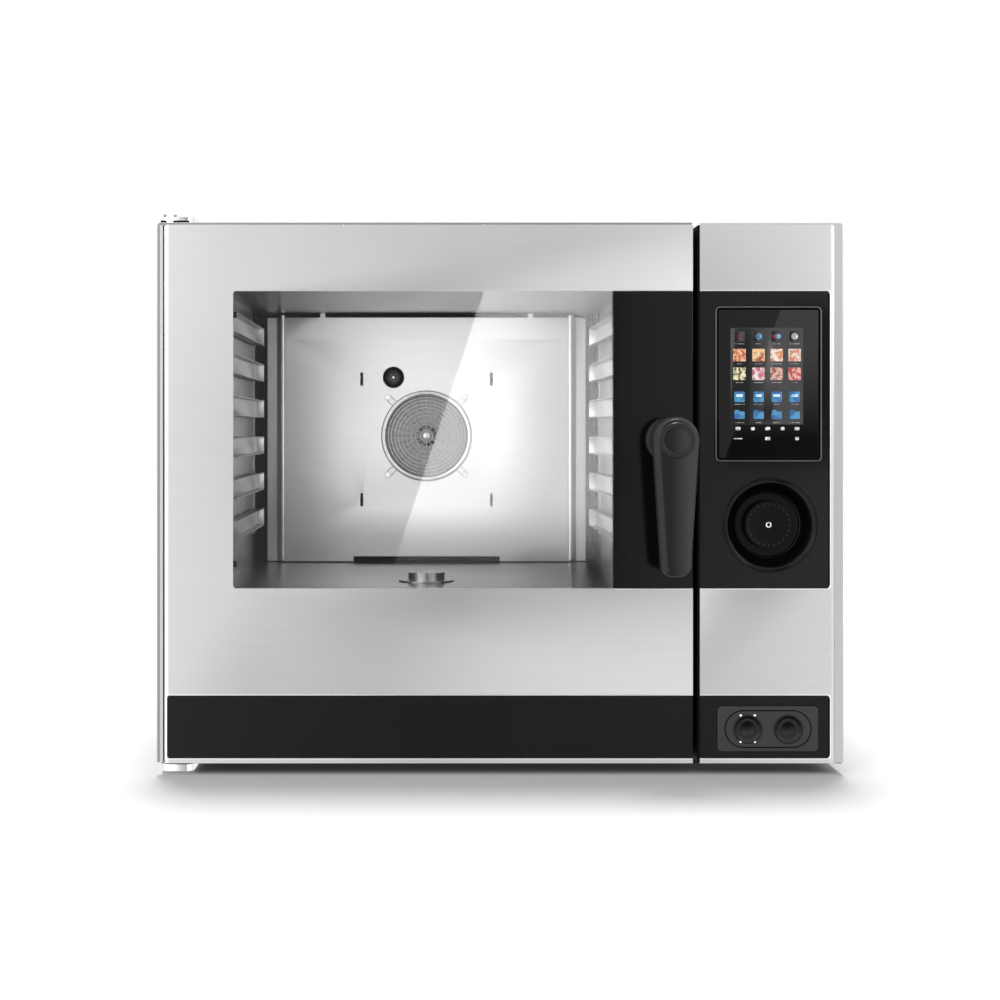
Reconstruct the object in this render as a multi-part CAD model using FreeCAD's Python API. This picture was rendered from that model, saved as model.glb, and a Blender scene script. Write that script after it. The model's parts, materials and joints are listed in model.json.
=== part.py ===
import FreeCAD, Part
import math
import os

from FreeCAD import Vector

# Counter-top combi steamer oven with a side-hung glass door and a control column.
# Millimetres. +Z is up, the door faces -Y, and the origin is on the floor under the
# middle of the whole outline. Places in depth are counted from the door's outer face.

# Overall sizes
body_width = 875.0
casing_top = 705.0
body_depth = 650.0
foot_height = 15.0
handle_reach = 75.0
rear_reach = 30.0
vent_rise = 45.0

# Sheet metal and fits
sheet = 1.5
place_slack = 1e-3
parallel_slack = 1e-6
body_gap = 0.4
running_fit = 0.05
assembly_gap = 0.1
bolt_gap = 1.0

# Door and control column
column_width = 184.6
column_gap = 7.7
door_thickness = 55.0
door_back_pan = 10.0
seal_gap = 4.0
door_edge_radius = 11.0
column_edge_radius = 17.0
panel_thickness = 4.0
strip_rise = 6.4
strip_height = 80.3
strip_reveal = 8.9
window_reveal = 93.5
handle_panel_width = 102.4
control_reveal = 16.8
band_margin = 5.0

# Cooking cavity
cavity_side_margin = 71.15
cavity_roof_margin = 80.0
cavity_floor_height = 219.0
rear_space = 115.0
cavity_corner = 35.0
insulation_thickness = 40.0
rear_insulation = 20.0

# Glass and gasket
glass_overlap = 16.0
glass_ledge = 12.0
glass_thickness = 4.5
gasket_offset = 2.0
gasket_width = 10.0
clip_length = 28.0
clip_height = 8.0
clip_inset = 32.0

# Hinges
hinge_inset = 11.5
hinge_depth = 28.0
hinge_pin_radius = 3.5
hinge_pin_length = 25.0
hinge_plate_width = 41.5
hinge_plate_front = 10.0
hinge_plate_back = 112.0
hinge_plate_thickness = 9.5
hinge_rise = 3.0
hinge_screw_spacing = 28.0
bush_side = 16.0

# Handle and latch
handle_inset = 31.8
lever_length = 170.0
lever_head_radius = 28.7
lever_tip_radius = 19.7
lever_thickness = 22.0
lever_round = 4.0
cap_radius = 22.0
cap_proud = 1.5
cap_thickness = 5.0
cap_dish_radius = 16.5
cap_dish_depth = 1.5
neck_radius = 21.0
neck_base_radius = 28.5
spindle_radius = 8.0
spindle_grip = 18.0
latch_side = 46.0
latch_thickness = 34.0
tongue_radius = 18.0
tongue_width = 12.0
tongue_thickness = 6.0
tongue_depth = 62.0
strike_radius = 21.0
strike_wall = 4.0
strike_length = 12.0

# Touch screen and knob
screen_inset = 20.4
screen_width = 137.6
screen_top_margin = 19.0
screen_frame = 6.7
screen_thickness = 12.0
screen_corner = 6.0
bezel_proud = 1.0
knob_inset = 91.1
knob_rise = 81.0
dish_radius = 61.0
dish_floor_radius = 42.0
dish_depth = 20.0
dish_wall = 2.0
dish_lip = 7.0
dish_to_screen = 20.0
knob_radius = 31.0
knob_sink = 7.0
knob_travel = 1.5
knob_round = 3.0
knob_flutes = 40
flute_radius = 1.0
shaft_radius = 3.0
encoder_side = 26.0
encoder_thickness = 14.0

# Connector box in the column's lower strip
connector_inset = 88.4
connector_drop = 2.5
connector_width = 130.0
connector_height = 59.0
connector_thickness = 16.0
connector_corner = 5.0
socket_spacing = 52.0
socket_radius = 15.0
socket_bore = 10.0
port_bore = 9.0
cap_flange_radius = 18.4
cap_flange_thickness = 3.0
cap_dish_floor = 1.0
plug_length = 9.0
plug_slack = 0.3

# Rails for the trays
rail_levels = 6
rail_height = 27.0
rail_depth = 13.0
first_rail_rise = 59.0
top_rail_drop = 25.0
rail_front = 100.0
rail_end_gap = 13.0
post_width = 20.0
post_thickness = 3.0
post_inset = 12.0
stud_radius = 4.0
rack_lift = 12.0

# Fan, heater and deflector
fan_rise = 3.2
deflector_space = 85.0
deflector_side_gap = 19.5
deflector_floor_gap = 1.8
deflector_roof_gap = 6.5
deflector_flange = 15.0
deflector_bevel = 10.0
deflector_step = 10.0
deflector_dip = 6.0
deflector_center = 78.0
dip_side_margin = 7.0
dip_end_margin = 34.0
notch_width = 229.0
notch_height = 8.0
tab_width = 8.0
tab_offset = 163.0
slot_offset_x = 102.0
slot_offset_z = 95.0
slot_height = 20.0
slot_width = 4.0
grille_radius = 70.0
grille_bar = 3.0
grille_rings = 6
grille_spokes = 12
grille_arms = 4
grille_arm_radius = 86.0
grille_arm_width = 8.0
wheel_to_heater = 52.0
wheel_width = 46.0
wheel_blades = 16
wheel_blade_length = 24.0
wheel_disc = 2.0
wheel_front_gap = 18.0
hub_radius = 18.0
motor_shaft_radius = 8.0
motor_radius = 50.0
motor_length = 90.0
motor_flange = 62.0
motor_flange_thickness = 6.0
motor_end_wall = 1.0
heater_wall_share = 0.284
heater_tube = 4.25
heater_tie = 6.0
heater_loops = 3
heater_pitch = 15.0
heater_gap = 16.0
steam_offset = 125.0
steam_radius = 4.0
nozzle_x_offset = 52.0
nozzle_z_offset = 92.0
nozzle_radius = 10.8
nozzle_hole = 16.6
nozzle_reach = 8.0

# Drain, vent, water and power
drain_depth = 155.0
drain_hole = 30.0
drain_radius = 25.0
drain_wall = 2.0
drain_drop = 122.0
cover_flange_radius = 38.0
cover_cap_radius = 25.0
cover_height = 12.0
cover_sheet = 1.5
cover_holes = 12
cover_hole_radius = 2.2
cover_hole_circle = 16.2
vent_radius = 25.0
vent_wall = 3.0
vent_forward = 30.0
vent_offset = 120.0
flap_drop = 22.0
spigot_step = 0.5
flap_axle_radius = 2.0
water_radius = 13.2
water_bore = 8.0
water_spacing = 60.0
water_x = 330.0
water_z = 75.0
water_reach = 20.0
valve_length = 55.0
valve_height = 39.6
gland_x = 405.0
gland_z = 150.0
gland_radius = 16.0
gland_bore = 9.0
gland_length = 30.0

# Electrics in the column
cooler_side = 119.0
cooler_thickness = 25.0
cooler_x = 344.0
cooler_z = 300.0
cooler_blades = 7
cooler_bars = 4
cooler_bar = 4.0
cooler_rotor_thickness = 17.0
cooler_blade_inset = 4.0
cooler_blade_thickness = 2.0
board_thickness = 1.6
board_part_height = 14.0
control_board_parts = 3
power_board_parts = 4

# Casing details
foot_radius = 20.0
foot_inset_x = 100.0
foot_inset_y = 70.0
tray_wall = 30.0
louvre_count = 12
louvre_pitch = 12.0
louvre_width = 120.0
louvre_height = 4.0
screw_radius = 4.5
screw_head = 2.0

# Derived places
half_width = body_width / 2
front_y = handle_reach - (handle_reach + body_depth + rear_reach) / 2
door_left = -half_width
column_left = half_width - column_width
door_right = column_left - column_gap
casing_front = door_thickness + seal_gap
casing_bottom = foot_height
cavity_left = door_left + cavity_side_margin
cavity_right = door_right - cavity_side_margin
cavity_x = (cavity_left + cavity_right) / 2
cavity_top = casing_top - cavity_roof_margin
cavity_floor = casing_bottom + cavity_floor_height
cavity_front = casing_front + sheet
cavity_back = body_depth - rear_space
band_bottom = cavity_floor + band_margin
band_top = cavity_top - band_margin
band_z = (band_bottom + band_top) / 2
window_left = door_left + window_reveal
window_right = door_right - handle_panel_width
strip_bottom = casing_bottom + strip_rise
strip_top = strip_bottom + strip_height
connector_z = (strip_bottom + strip_top) / 2 - connector_drop
control_right = half_width - control_reveal
fan_z = (cavity_floor + cavity_top) / 2 + fan_rise
heater_radius = (1 - heater_wall_share) * (cavity_top - cavity_floor) / 2
wheel_radius = heater_radius - wheel_to_heater
deflector_front = cavity_back - deflector_space
grille_front = deflector_front + deflector_dip - sheet
wheel_front = deflector_front + wheel_front_gap
rail_back = deflector_front - rail_end_gap
rail_z = cavity_floor + first_rail_rise
rail_pitch = (cavity_top - top_rail_drop - rail_height - rail_z) / (rail_levels - 1)
hinge_x = door_left + hinge_inset
handle_x = door_right - handle_inset
knob_x = column_left + knob_inset
knob_z = band_bottom + knob_rise
screen_left = column_left + screen_inset
screen_right = screen_left + screen_width
screen_bottom = knob_z + dish_radius + dish_to_screen
screen_top = band_top - screen_top_margin
connector_x = column_left + connector_inset
drain_z = cavity_floor - sheet - drain_drop
vent_x = cavity_x + vent_offset
vent_depth = cavity_back - vent_forward
vent_top = casing_top + vent_rise

ALONG_X = Vector(1, 0, 0)
ALONG_Y = Vector(0, 1, 0)
ALONG_Z = Vector(0, 0, 1)


def point(x, depth, z):
    """A point given by its depth behind the door's outer face."""
    return Vector(x, front_y + depth, z)


def block(x0, x1, d0, d1, z0, z1):
    return Part.makeBox(x1 - x0, d1 - d0, z1 - z0, point(x0, d0, z0))


def rod_y(radius, x, z, d0, d1):
    return Part.makeCylinder(radius, d1 - d0, point(x, d0, z), ALONG_Y)


def rod_z(radius, x, depth, z0, z1):
    return Part.makeCylinder(radius, z1 - z0, point(x, depth, z0), ALONG_Z)


def rod_x(radius, depth, z, x0, x1):
    return Part.makeCylinder(radius, x1 - x0, point(x0, depth, z), ALONG_X)


def cone_y(radius0, radius1, x, z, d0, d1):
    return Part.makeCone(radius0, radius1, d1 - d0, point(x, d0, z), ALONG_Y)


def edges_along(shape, axis, chosen=None):
    """Straight edges parallel to an axis, or those of them whose middle passes a test."""
    found = []
    for edge in shape.Edges:
        span = edge.Vertexes[-1].Point.sub(edge.Vertexes[0].Point)
        straight = span.Length > 0 and abs(abs(span.normalize().dot(axis)) - 1) < parallel_slack
        if straight and (chosen is None or chosen(edge.CenterOfMass)):
            found.append(edge)
    return found


def plate(x0, x1, d0, d1, z0, z1, corner):
    """A block whose four corners, seen from the front, are rounded."""
    shape = block(x0, x1, d0, d1, z0, z1)
    return shape.makeFillet(corner, edges_along(shape, ALONG_Y))


def joined(shapes):
    shape = shapes[0]
    if len(shapes) > 1:
        shape = shape.multiFuse(shapes[1:])
    return shape.removeSplitter()


def mirrored(shape, x):
    return shape.mirror(Vector(x, 0, 0), ALONG_X)


def turned(shape, x, z, degrees):
    """A copy turned about a line along Y."""
    copy = shape.copy()
    copy.rotate(Vector(x, 0, z), ALONG_Y, degrees)
    return copy


def hollow_rounded(x0, x1, d0, d1, z0, z1, edge_radius, left):
    """A box-shaped shell, open at the back, with one rounded front vertical edge."""
    def body(inset, back, radius):
        shape = block(x0 + inset, x1 - inset, d0 + inset, d1 + back, z0 + inset, z1 - inset)
        corner_x = x0 + inset if left else x1 - inset

        def front_corner(middle):
            near = inset + place_slack
            return abs(middle.x - corner_x) < near and middle.y < front_y + d0 + near

        return shape.makeFillet(radius, edges_along(shape, ALONG_Z, front_corner))

    return body(0, 0, edge_radius).cut(body(sheet, sheet, edge_radius - sheet))


# Casing

def base_tray():
    outer = block(-half_width + sheet, half_width - sheet, cavity_front, body_depth - sheet,
                  casing_bottom, casing_bottom + tray_wall)
    inner = block(-half_width + 2 * sheet, half_width - 2 * sheet, cavity_front + sheet,
                  body_depth - 2 * sheet, casing_bottom + sheet, casing_bottom + tray_wall)
    return outer.cut(inner)


def side_panel(x0):
    return block(x0, x0 + sheet, casing_front, body_depth, casing_bottom, casing_top - sheet)


def top_panel():
    shape = block(-half_width, half_width, casing_front, body_depth, casing_top - sheet, casing_top)
    return shape.cut(rod_z(vent_radius + bolt_gap, vent_x, vent_depth, casing_top - 2 * sheet, vent_top))


def rear_panel():
    shape = block(-half_width + sheet, half_width - sheet, body_depth - sheet, body_depth,
                  casing_bottom, casing_top - sheet)
    d0 = body_depth - 2 * sheet
    d1 = body_depth + sheet
    holes = [rod_y(drain_radius + bolt_gap, cavity_x, drain_z, d0, d1),
             rod_y(gland_bore / 2 + bolt_gap, gland_x, gland_z, d0, d1)]
    for x in water_places():
        holes.append(rod_y(water_radius + bolt_gap, x, water_z, d0, d1))
    for row in range(louvre_count):
        z = cooler_z - cooler_side / 2 + row * louvre_pitch
        holes.append(block(cooler_x - louvre_width / 2, cooler_x + louvre_width / 2, d0, d1,
                           z, z + louvre_height))
    return shape.cut(holes)


def front_frame():
    shape = block(-half_width + sheet, column_left + sheet, casing_front, cavity_front,
                  casing_bottom, casing_top - sheet)
    opening = block(cavity_left, cavity_right, 0, body_depth, cavity_floor, cavity_top)
    latch_hole = rod_y(strike_radius + bolt_gap, handle_x, band_z, 0, body_depth)
    return shape.cut([opening, latch_hole])


def feet():
    places = [(side * (half_width - foot_inset_x), depth)
              for side in (-1, 1)
              for depth in (casing_front + foot_inset_y, body_depth - foot_inset_y)]
    return Part.makeCompound([rod_z(foot_radius, x, depth, 0, foot_height) for x, depth in places])


def screws():
    """Pan heads on both hinge plates and on the corners of the suction grille."""
    heads = []
    reach = (casing_front + hinge_plate_back) / 2
    for depth in (reach - hinge_screw_spacing / 2, reach + hinge_screw_spacing / 2):
        x = hinge_x + hinge_inset
        top = casing_top + hinge_rise + hinge_plate_thickness
        heads.append(rod_z(screw_radius, x, depth, top, top + screw_head))
    for number in range(grille_arms):
        head = rod_y(screw_radius, cavity_x + grille_arm_radius, fan_z,
                     grille_front - screw_head, grille_front)
        heads.append(turned(head, cavity_x, fan_z, grille_arm_angle(number)))
    return Part.makeCompound(heads)


def hinge_plate():
    """Upper hinge plate with its pin; the lower one is its mirror image."""
    z0 = casing_top + hinge_rise
    z1 = z0 + hinge_plate_thickness
    plate_shape = block(door_left, door_left + hinge_plate_width, hinge_plate_front,
                        hinge_plate_back, z0, z1)
    plate_shape = plate_shape.makeFillet(hinge_inset - 1, edges_along(
        plate_shape, ALONG_Z, lambda middle: middle.y < front_y + hinge_depth))
    pad = block(door_left, door_left + hinge_plate_width, casing_front + hinge_rise,
                hinge_plate_back, casing_top, z0)
    pin = rod_z(hinge_pin_radius, hinge_x, hinge_depth, casing_top - hinge_pin_length, z0)
    return joined([plate_shape, pad, pin])


def upside_down(shape):
    return shape.mirror(Vector(0, 0, (casing_bottom + casing_top) / 2), ALONG_Z)


def hinge_brackets():
    return Part.makeCompound([hinge_plate(), upside_down(hinge_plate())])


# Cooking cavity

def cavity_block(grow, front_grow):
    shape = block(cavity_left - grow, cavity_right + grow, cavity_front - front_grow,
                  cavity_back + grow, cavity_floor - grow, cavity_top + grow)
    rear_y = front_y + cavity_back + grow
    shape = shape.makeFillet(cavity_corner + grow, edges_along(
        shape, ALONG_Z, lambda middle: abs(middle.y - rear_y) < place_slack))
    return shape


def cavity_liner():
    holes = [rod_z(drain_hole, cavity_x, drain_depth, cavity_floor - 2 * sheet, cavity_floor + sheet),
             rod_z(vent_radius - vent_wall, vent_x, vent_depth, cavity_top - sheet, cavity_top + 2 * sheet),
             rod_y(motor_shaft_radius + bolt_gap, cavity_x, fan_z, cavity_back - sheet,
                   cavity_back + 2 * sheet),
             rod_y(nozzle_radius, nozzle_x(), nozzle_z(), cavity_back - sheet, cavity_back + 2 * sheet),
             rod_y(steam_radius, *steam_place(), cavity_back - sheet, cavity_back + 2 * sheet)]
    return cavity_block(sheet, 0).cut(cavity_block(0, sheet)).cut(holes)


def insulation():
    outer = block(cavity_left - sheet - insulation_thickness, cavity_right + sheet + insulation_thickness,
                  cavity_front, cavity_back + sheet + rear_insulation,
                  cavity_floor - sheet - insulation_thickness, cavity_top + sheet + insulation_thickness)
    pockets = [cavity_block(sheet, sheet),
               rod_y(strike_radius + strike_wall + bolt_gap, handle_x, band_z, casing_front,
                     tongue_depth + 2 * strike_length),
               rod_y(motor_flange + bolt_gap, cavity_x, fan_z, cavity_back, body_depth),
               rod_y(nozzle_radius + bolt_gap, nozzle_x(), nozzle_z(), cavity_back, body_depth),
               rod_y(steam_radius + bolt_gap, *steam_place(), cavity_back, body_depth),
               rod_z(drain_hole + bolt_gap + drain_wall, cavity_x, drain_depth, 0, cavity_floor),
               rod_z(vent_radius + bolt_gap, vent_x, vent_depth, cavity_top, vent_top)]
    return outer.cut(pockets)


def door_gasket():
    outer = gasket_offset + gasket_width
    front = door_thickness + body_gap

    def ring(grow, corner):
        return plate(cavity_left - grow, cavity_right + grow, front, casing_front,
                     cavity_floor - grow, cavity_top + grow, corner)

    return ring(outer, outer).cut(ring(gasket_offset, gasket_offset))


def rail_bottoms():
    return [rail_z + level * rail_pitch for level in range(rail_levels)]


def post_depths():
    return [rail_front + post_width / 2, rail_back - post_width / 2]


def stud_heights():
    return [bottom + rail_height / 2 for bottom in (rail_bottoms()[0], rail_bottoms()[-1])]


def rack_left():
    """Six U-shaped tray rails with end stops on two posts, slotted over the wall studs."""
    post_x = cavity_left + body_gap
    web_x = post_x + post_thickness
    solids = []
    for bottom in rail_bottoms():
        top = bottom + rail_height
        web = block(web_x, web_x + sheet, rail_front, rail_back, bottom, top)
        lower = block(web_x, web_x + rail_depth, rail_front, rail_back, bottom, bottom + sheet)
        upper = block(web_x, web_x + rail_depth, rail_front, rail_back, top - sheet, top)
        stop = block(web_x, web_x + rail_depth, rail_back, rail_back + sheet, bottom, top)
        solids += [web, lower, upper, stop]
    slots = []
    for depth in post_depths():
        solids.append(block(post_x, web_x, depth - post_width / 2, depth + post_width / 2,
                            rail_bottoms()[0] - post_inset, rail_bottoms()[-1] + rail_height + sheet))
        for z in stud_heights():
            reach = stud_radius + body_gap
            slots.append(block(post_x - 1, web_x, depth - reach, depth + reach,
                               z - rack_lift - reach, z + reach))
    return joined(solids).cut(slots)


def rack_studs():
    studs = []
    for depth in post_depths():
        for z in stud_heights():
            stud = rod_x(stud_radius, depth, z, cavity_left, cavity_left + post_thickness)
            studs += [stud, mirrored(stud, cavity_x)]
    return Part.makeCompound(studs)


def drain_cover():
    """A flanged, perforated cap that stands over the drain hole."""
    z0 = cavity_floor + body_gap
    outer = joined([rod_z(cover_flange_radius, cavity_x, drain_depth, z0, z0 + cover_sheet),
                    rod_z(cover_cap_radius, cavity_x, drain_depth, z0, z0 + cover_height)])
    inner = rod_z(cover_cap_radius - cover_sheet, cavity_x, drain_depth, z0 - 1,
                  z0 + cover_height - cover_sheet)
    holes = []
    for number in range(cover_holes):
        angle = 2 * math.pi * number / cover_holes
        x = cavity_x + cover_hole_circle * math.cos(angle)
        depth = drain_depth + cover_hole_circle * math.sin(angle)
        holes.append(rod_z(cover_hole_radius, x, depth, z0, z0 + 2 * cover_height))
    return outer.cut([inner] + holes)


def drain_pipe():
    """Funnel and pipe from the cavity floor, turning to the rear of the oven."""
    def pipe(radius, end):
        return joined([rod_z(radius, cavity_x, drain_depth, drain_z, cavity_floor - sheet),
                       Part.makeSphere(radius, point(cavity_x, drain_depth, drain_z)),
                       rod_y(radius, cavity_x, drain_z, drain_depth, body_depth + rear_reach + end)])

    collar = rod_z(drain_hole + drain_wall, cavity_x, drain_depth,
                   cavity_floor - sheet - 2 * drain_wall, cavity_floor - sheet)
    spigot = rod_y(drain_radius - spigot_step, cavity_x, drain_z, body_depth, body_depth + rear_reach)
    outer = joined([pipe(drain_radius, -rear_reach), collar, spigot])
    return outer.cut(pipe(drain_radius - drain_wall, 1))


def vent_pipe():
    outer = joined([rod_z(vent_radius, vent_x, vent_depth, cavity_top + sheet, casing_top),
                    rod_z(vent_radius - spigot_step, vent_x, vent_depth, casing_top, vent_top)])
    bore = rod_z(vent_radius - vent_wall, vent_x, vent_depth, cavity_top, vent_top + 1)
    axle = rod_x(flap_axle_radius + running_fit, vent_depth, casing_top - flap_drop,
                 vent_x - 2 * vent_radius, vent_x + 2 * vent_radius)
    return outer.cut([bore, axle])


def vent_flap():
    z = casing_top - flap_drop
    reach = vent_radius
    return joined([rod_z(vent_radius - vent_wall - body_gap, vent_x, vent_depth,
                         z - sheet / 2, z + sheet / 2),
                   rod_x(flap_axle_radius, vent_depth, z, vent_x - reach, vent_x + reach)])


# Fan, heater and deflector

def nozzle_x():
    return cavity_x - nozzle_x_offset


def nozzle_z():
    return fan_z + nozzle_z_offset


def steam_place():
    reach = steam_offset * math.sqrt(0.5)
    return cavity_x + reach, fan_z + reach


def frustum(half_x0, half_z0, d0, half_x1, half_z1, d1, x, z):
    """A four-sided frustum from a rear rectangle to a front one."""
    def outline(half_x, half_z, depth):
        corners = [point(x - half_x, depth, z - half_z), point(x + half_x, depth, z - half_z),
                   point(x + half_x, depth, z + half_z), point(x - half_x, depth, z + half_z)]
        return Part.makePolygon(corners + corners[:1])

    return Part.makeLoft([outline(half_x0, half_z0, d0), outline(half_x1, half_z1, d1)], True, True)


def grille_arm_angle(number):
    return (number + 0.5) * 360 / grille_arms


def fan_deflector():
    """Pressed sheet: side flanges, bevelled steps, then four faces that dip to the centre."""
    half_x = (cavity_right - cavity_left) / 2 - deflector_side_gap
    z0 = cavity_floor + deflector_floor_gap
    z1 = cavity_top - deflector_roof_gap
    middle = (z0 + z1) / 2
    half_z = (z1 - z0) / 2
    step_depth = deflector_front + deflector_step
    edge_x = half_x - deflector_flange
    face_x = edge_x - deflector_bevel
    flange = block(cavity_x - half_x, cavity_x + half_x, step_depth, step_depth + 2 * sheet, z0, z1)
    step = frustum(edge_x, half_z, step_depth, face_x, half_z, deflector_front, cavity_x, middle)
    dip = frustum(deflector_center, deflector_center, deflector_front + deflector_dip,
                  face_x - dip_side_margin, half_z - dip_end_margin, deflector_front, cavity_x, middle)
    pressed = joined([flange, step]).cut(dip)
    shape = pressed.cut(pressed.translated(Vector(0, sheet, 0)))
    holes = [rod_y(grille_radius, cavity_x, fan_z, 0, body_depth),
             rod_y(nozzle_hole, nozzle_x(), nozzle_z(), 0, body_depth),
             block(cavity_x - notch_width / 2, cavity_x + notch_width / 2, 0, body_depth,
                   z0 - 1, z0 + notch_height)]
    for side in (-1, 1):
        for height in (-1, 1):
            x = cavity_x + side * slot_offset_x
            z = middle + height * slot_offset_z
            holes.append(block(x - slot_width / 2, x + slot_width / 2, 0, body_depth,
                               z - slot_height / 2, z + slot_height / 2))
    tabs = []
    for side in (-1, 1):
        x = cavity_x + side * tab_offset
        tabs.append(block(x - tab_width / 2, x + tab_width / 2, deflector_front,
                          deflector_front + sheet, z1 - 1, cavity_top))
    return joined([shape.cut(holes)] + tabs)


def suction_grille():
    """Rings and spokes in front of the fan, held by four diagonal arms."""
    d0 = grille_front
    d1 = grille_front + sheet
    parts = []
    for number in range(grille_rings):
        radius = grille_radius + grille_bar - number * grille_radius / grille_rings
        ring = rod_y(radius, cavity_x, fan_z, d0, d1)
        parts.append(ring.cut(rod_y(radius - grille_bar, cavity_x, fan_z, d0 - 1, d1 + 1)))
    parts.append(rod_y(grille_bar, cavity_x, fan_z, d0, d1))
    spoke = block(cavity_x, cavity_x + grille_radius, d0, d1, fan_z - sheet / 2, fan_z + sheet / 2)
    for number in range(grille_spokes):
        parts.append(turned(spoke, cavity_x, fan_z, number * 360 / grille_spokes))
    arm = joined([block(cavity_x + grille_radius, cavity_x + grille_arm_radius, d0, d1,
                        fan_z - grille_arm_width / 2, fan_z + grille_arm_width / 2),
                  rod_y(screw_radius, cavity_x + grille_arm_radius, fan_z, d0, d1)])
    for number in range(grille_arms):
        parts.append(turned(arm, cavity_x, fan_z, grille_arm_angle(number)))
    return joined(parts)


def motor_shaft():
    return rod_y(motor_shaft_radius, cavity_x, fan_z, wheel_front,
                 cavity_back + sheet + motor_length - wheel_disc)


def fan_wheel():
    """Radial wheel: back disc, front ring, blades and a hub bored for the shaft."""
    back = wheel_front + wheel_width
    disc = rod_y(wheel_radius, cavity_x, fan_z, back - wheel_disc, back)
    ring = rod_y(wheel_radius, cavity_x, fan_z, wheel_front, wheel_front + wheel_disc).cut(
        rod_y(wheel_radius - wheel_blade_length, cavity_x, fan_z, 0, body_depth))
    hub = rod_y(hub_radius, cavity_x, fan_z, wheel_front + wheel_width / 2, back)
    blade = block(cavity_x + wheel_radius - wheel_blade_length + wheel_disc,
                  cavity_x + wheel_radius - wheel_disc, wheel_front + wheel_disc / 2,
                  back - wheel_disc / 2, fan_z - sheet / 2, fan_z + sheet / 2)
    blades = [turned(blade, cavity_x, fan_z, number * 360 / wheel_blades) for number in range(wheel_blades)]
    return joined([disc, ring, hub] + blades).cut(
        rod_y(motor_shaft_radius, cavity_x, fan_z, 0, body_depth))


def fan_motor():
    d0 = cavity_back + sheet
    body = joined([rod_y(motor_radius, cavity_x, fan_z, d0, d0 + motor_length),
                   rod_y(motor_flange, cavity_x, fan_z, d0, d0 + motor_flange_thickness)])
    return body.cut(rod_y(motor_shaft_radius + running_fit, cavity_x, fan_z, d0 - 1,
                          d0 + motor_length - motor_end_wall))


def heating_element():
    """Tubular rings round the fan wheel, tied by two bars that pass to the rear wall."""
    solids = []
    first = wheel_front + heater_gap - heater_tube
    for loop in range(heater_loops):
        solids.append(Part.makeTorus(heater_radius, heater_tube,
                                     point(cavity_x, first + loop * heater_pitch, fan_z), ALONG_Y))
    for side in (-1, 1):
        solids.append(rod_y(heater_tie, cavity_x + side * heater_radius, fan_z, first, cavity_back))
    return joined(solids)


def wash_nozzle():
    return rod_y(nozzle_radius, nozzle_x(), nozzle_z(), deflector_front - nozzle_reach,
                 cavity_back + rear_insulation)


def steam_pipe():
    x, z = steam_place()
    outer = rod_y(steam_radius, x, z, wheel_front + wheel_width / 2, cavity_back + sheet + rear_insulation)
    return outer.cut(rod_y(steam_radius / 2, x, z, 0, body_depth))


# Control column

def column_cut(depth, z0, z1):
    """The recess in the column's front for a panel that starts at its left edge."""
    return block(column_left - 1, control_right, -1, depth, z0, z1)


def control_fascia():
    shell = hollow_rounded(column_left, half_width, 0, casing_front, casing_bottom, casing_top,
                           column_edge_radius, False)
    return shell.cut([column_cut(panel_thickness, band_bottom, band_top),
                      column_cut(panel_thickness, strip_bottom, strip_top)])


def control_panel():
    shape = block(column_left, control_right, 0, panel_thickness, band_bottom, band_top)
    screen_hole = screen_block(0, -1, body_depth)
    knob_hole = rod_y(dish_radius - dish_lip, knob_x, knob_z, -1, body_depth)
    return shape.cut([screen_hole, knob_hole])


def lower_panel():
    shape = block(column_left, control_right, 0, panel_thickness, strip_bottom, strip_top)
    return shape.cut(connector_outline(-1, body_depth))


def screen_block(inset, d0, d1):
    return plate(screen_left + inset, screen_right - inset, d0, d1,
                 screen_bottom + inset, screen_top - inset, screen_corner)


def screen_bezel():
    outer = screen_block(0, -bezel_proud, panel_thickness)
    return outer.cut(screen_block(screen_frame, -2 * bezel_proud, 2 * panel_thickness))


def touch_screen():
    """Glass and display module in one sealed unit behind the bezel."""
    glass = screen_block(screen_frame, 0, panel_thickness)
    module = block(screen_left, screen_right, panel_thickness, screen_thickness,
                   screen_bottom, screen_top)
    return joined([glass, module])


def knob_dish():
    """A spun bowl with a lip on the panel, its floor bored for the shaft."""
    lip = rod_y(dish_radius, knob_x, knob_z, -sheet, 0)
    neck = dish_radius - dish_lip
    outer = joined([lip, cone_y(neck, dish_floor_radius + dish_wall, knob_x, knob_z, 0,
                                dish_depth + dish_wall)])
    bowl = cone_y(neck - dish_wall, dish_floor_radius, knob_x, knob_z, 0, dish_depth)
    mouth = rod_y(neck - dish_wall, knob_x, knob_z, -2 * sheet, 0)
    bore = rod_y(shaft_radius + bolt_gap, knob_x, knob_z, 0, body_depth)
    return outer.cut([bowl, mouth, bore])


def encoder_body():
    d0 = dish_depth + dish_wall
    half = encoder_side / 2
    shape = block(knob_x - half, knob_x + half, d0, d0 + encoder_thickness, knob_z - half, knob_z + half)
    return shape.cut(rod_y(shaft_radius + running_fit, knob_x, knob_z, 0, body_depth))


def encoder_shaft():
    """The shaft that carries the knob and slides in the encoder when the knob is pressed."""
    return rod_y(shaft_radius, knob_x, knob_z, knob_sink + knob_round,
                 dish_depth + dish_wall + encoder_thickness + knob_travel)


def knob():
    back = dish_depth - knob_travel - body_gap
    shape = rod_y(knob_radius, knob_x, knob_z, knob_sink, back)
    shape = shape.makeFillet(knob_round, [edge for edge in shape.Edges
                                          if abs(edge.CenterOfMass.y - front_y - knob_sink) < place_slack
                                          and edge.Closed])
    flutes = []
    for number in range(knob_flutes):
        flute = rod_y(flute_radius, knob_x + knob_radius, knob_z, 0, body_depth)
        flutes.append(turned(flute, knob_x, knob_z, number * 360 / knob_flutes))
    bore = rod_y(shaft_radius + running_fit, knob_x, knob_z, knob_sink + knob_round - body_gap, body_depth)
    return shape.cut(flutes + [bore])


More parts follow.
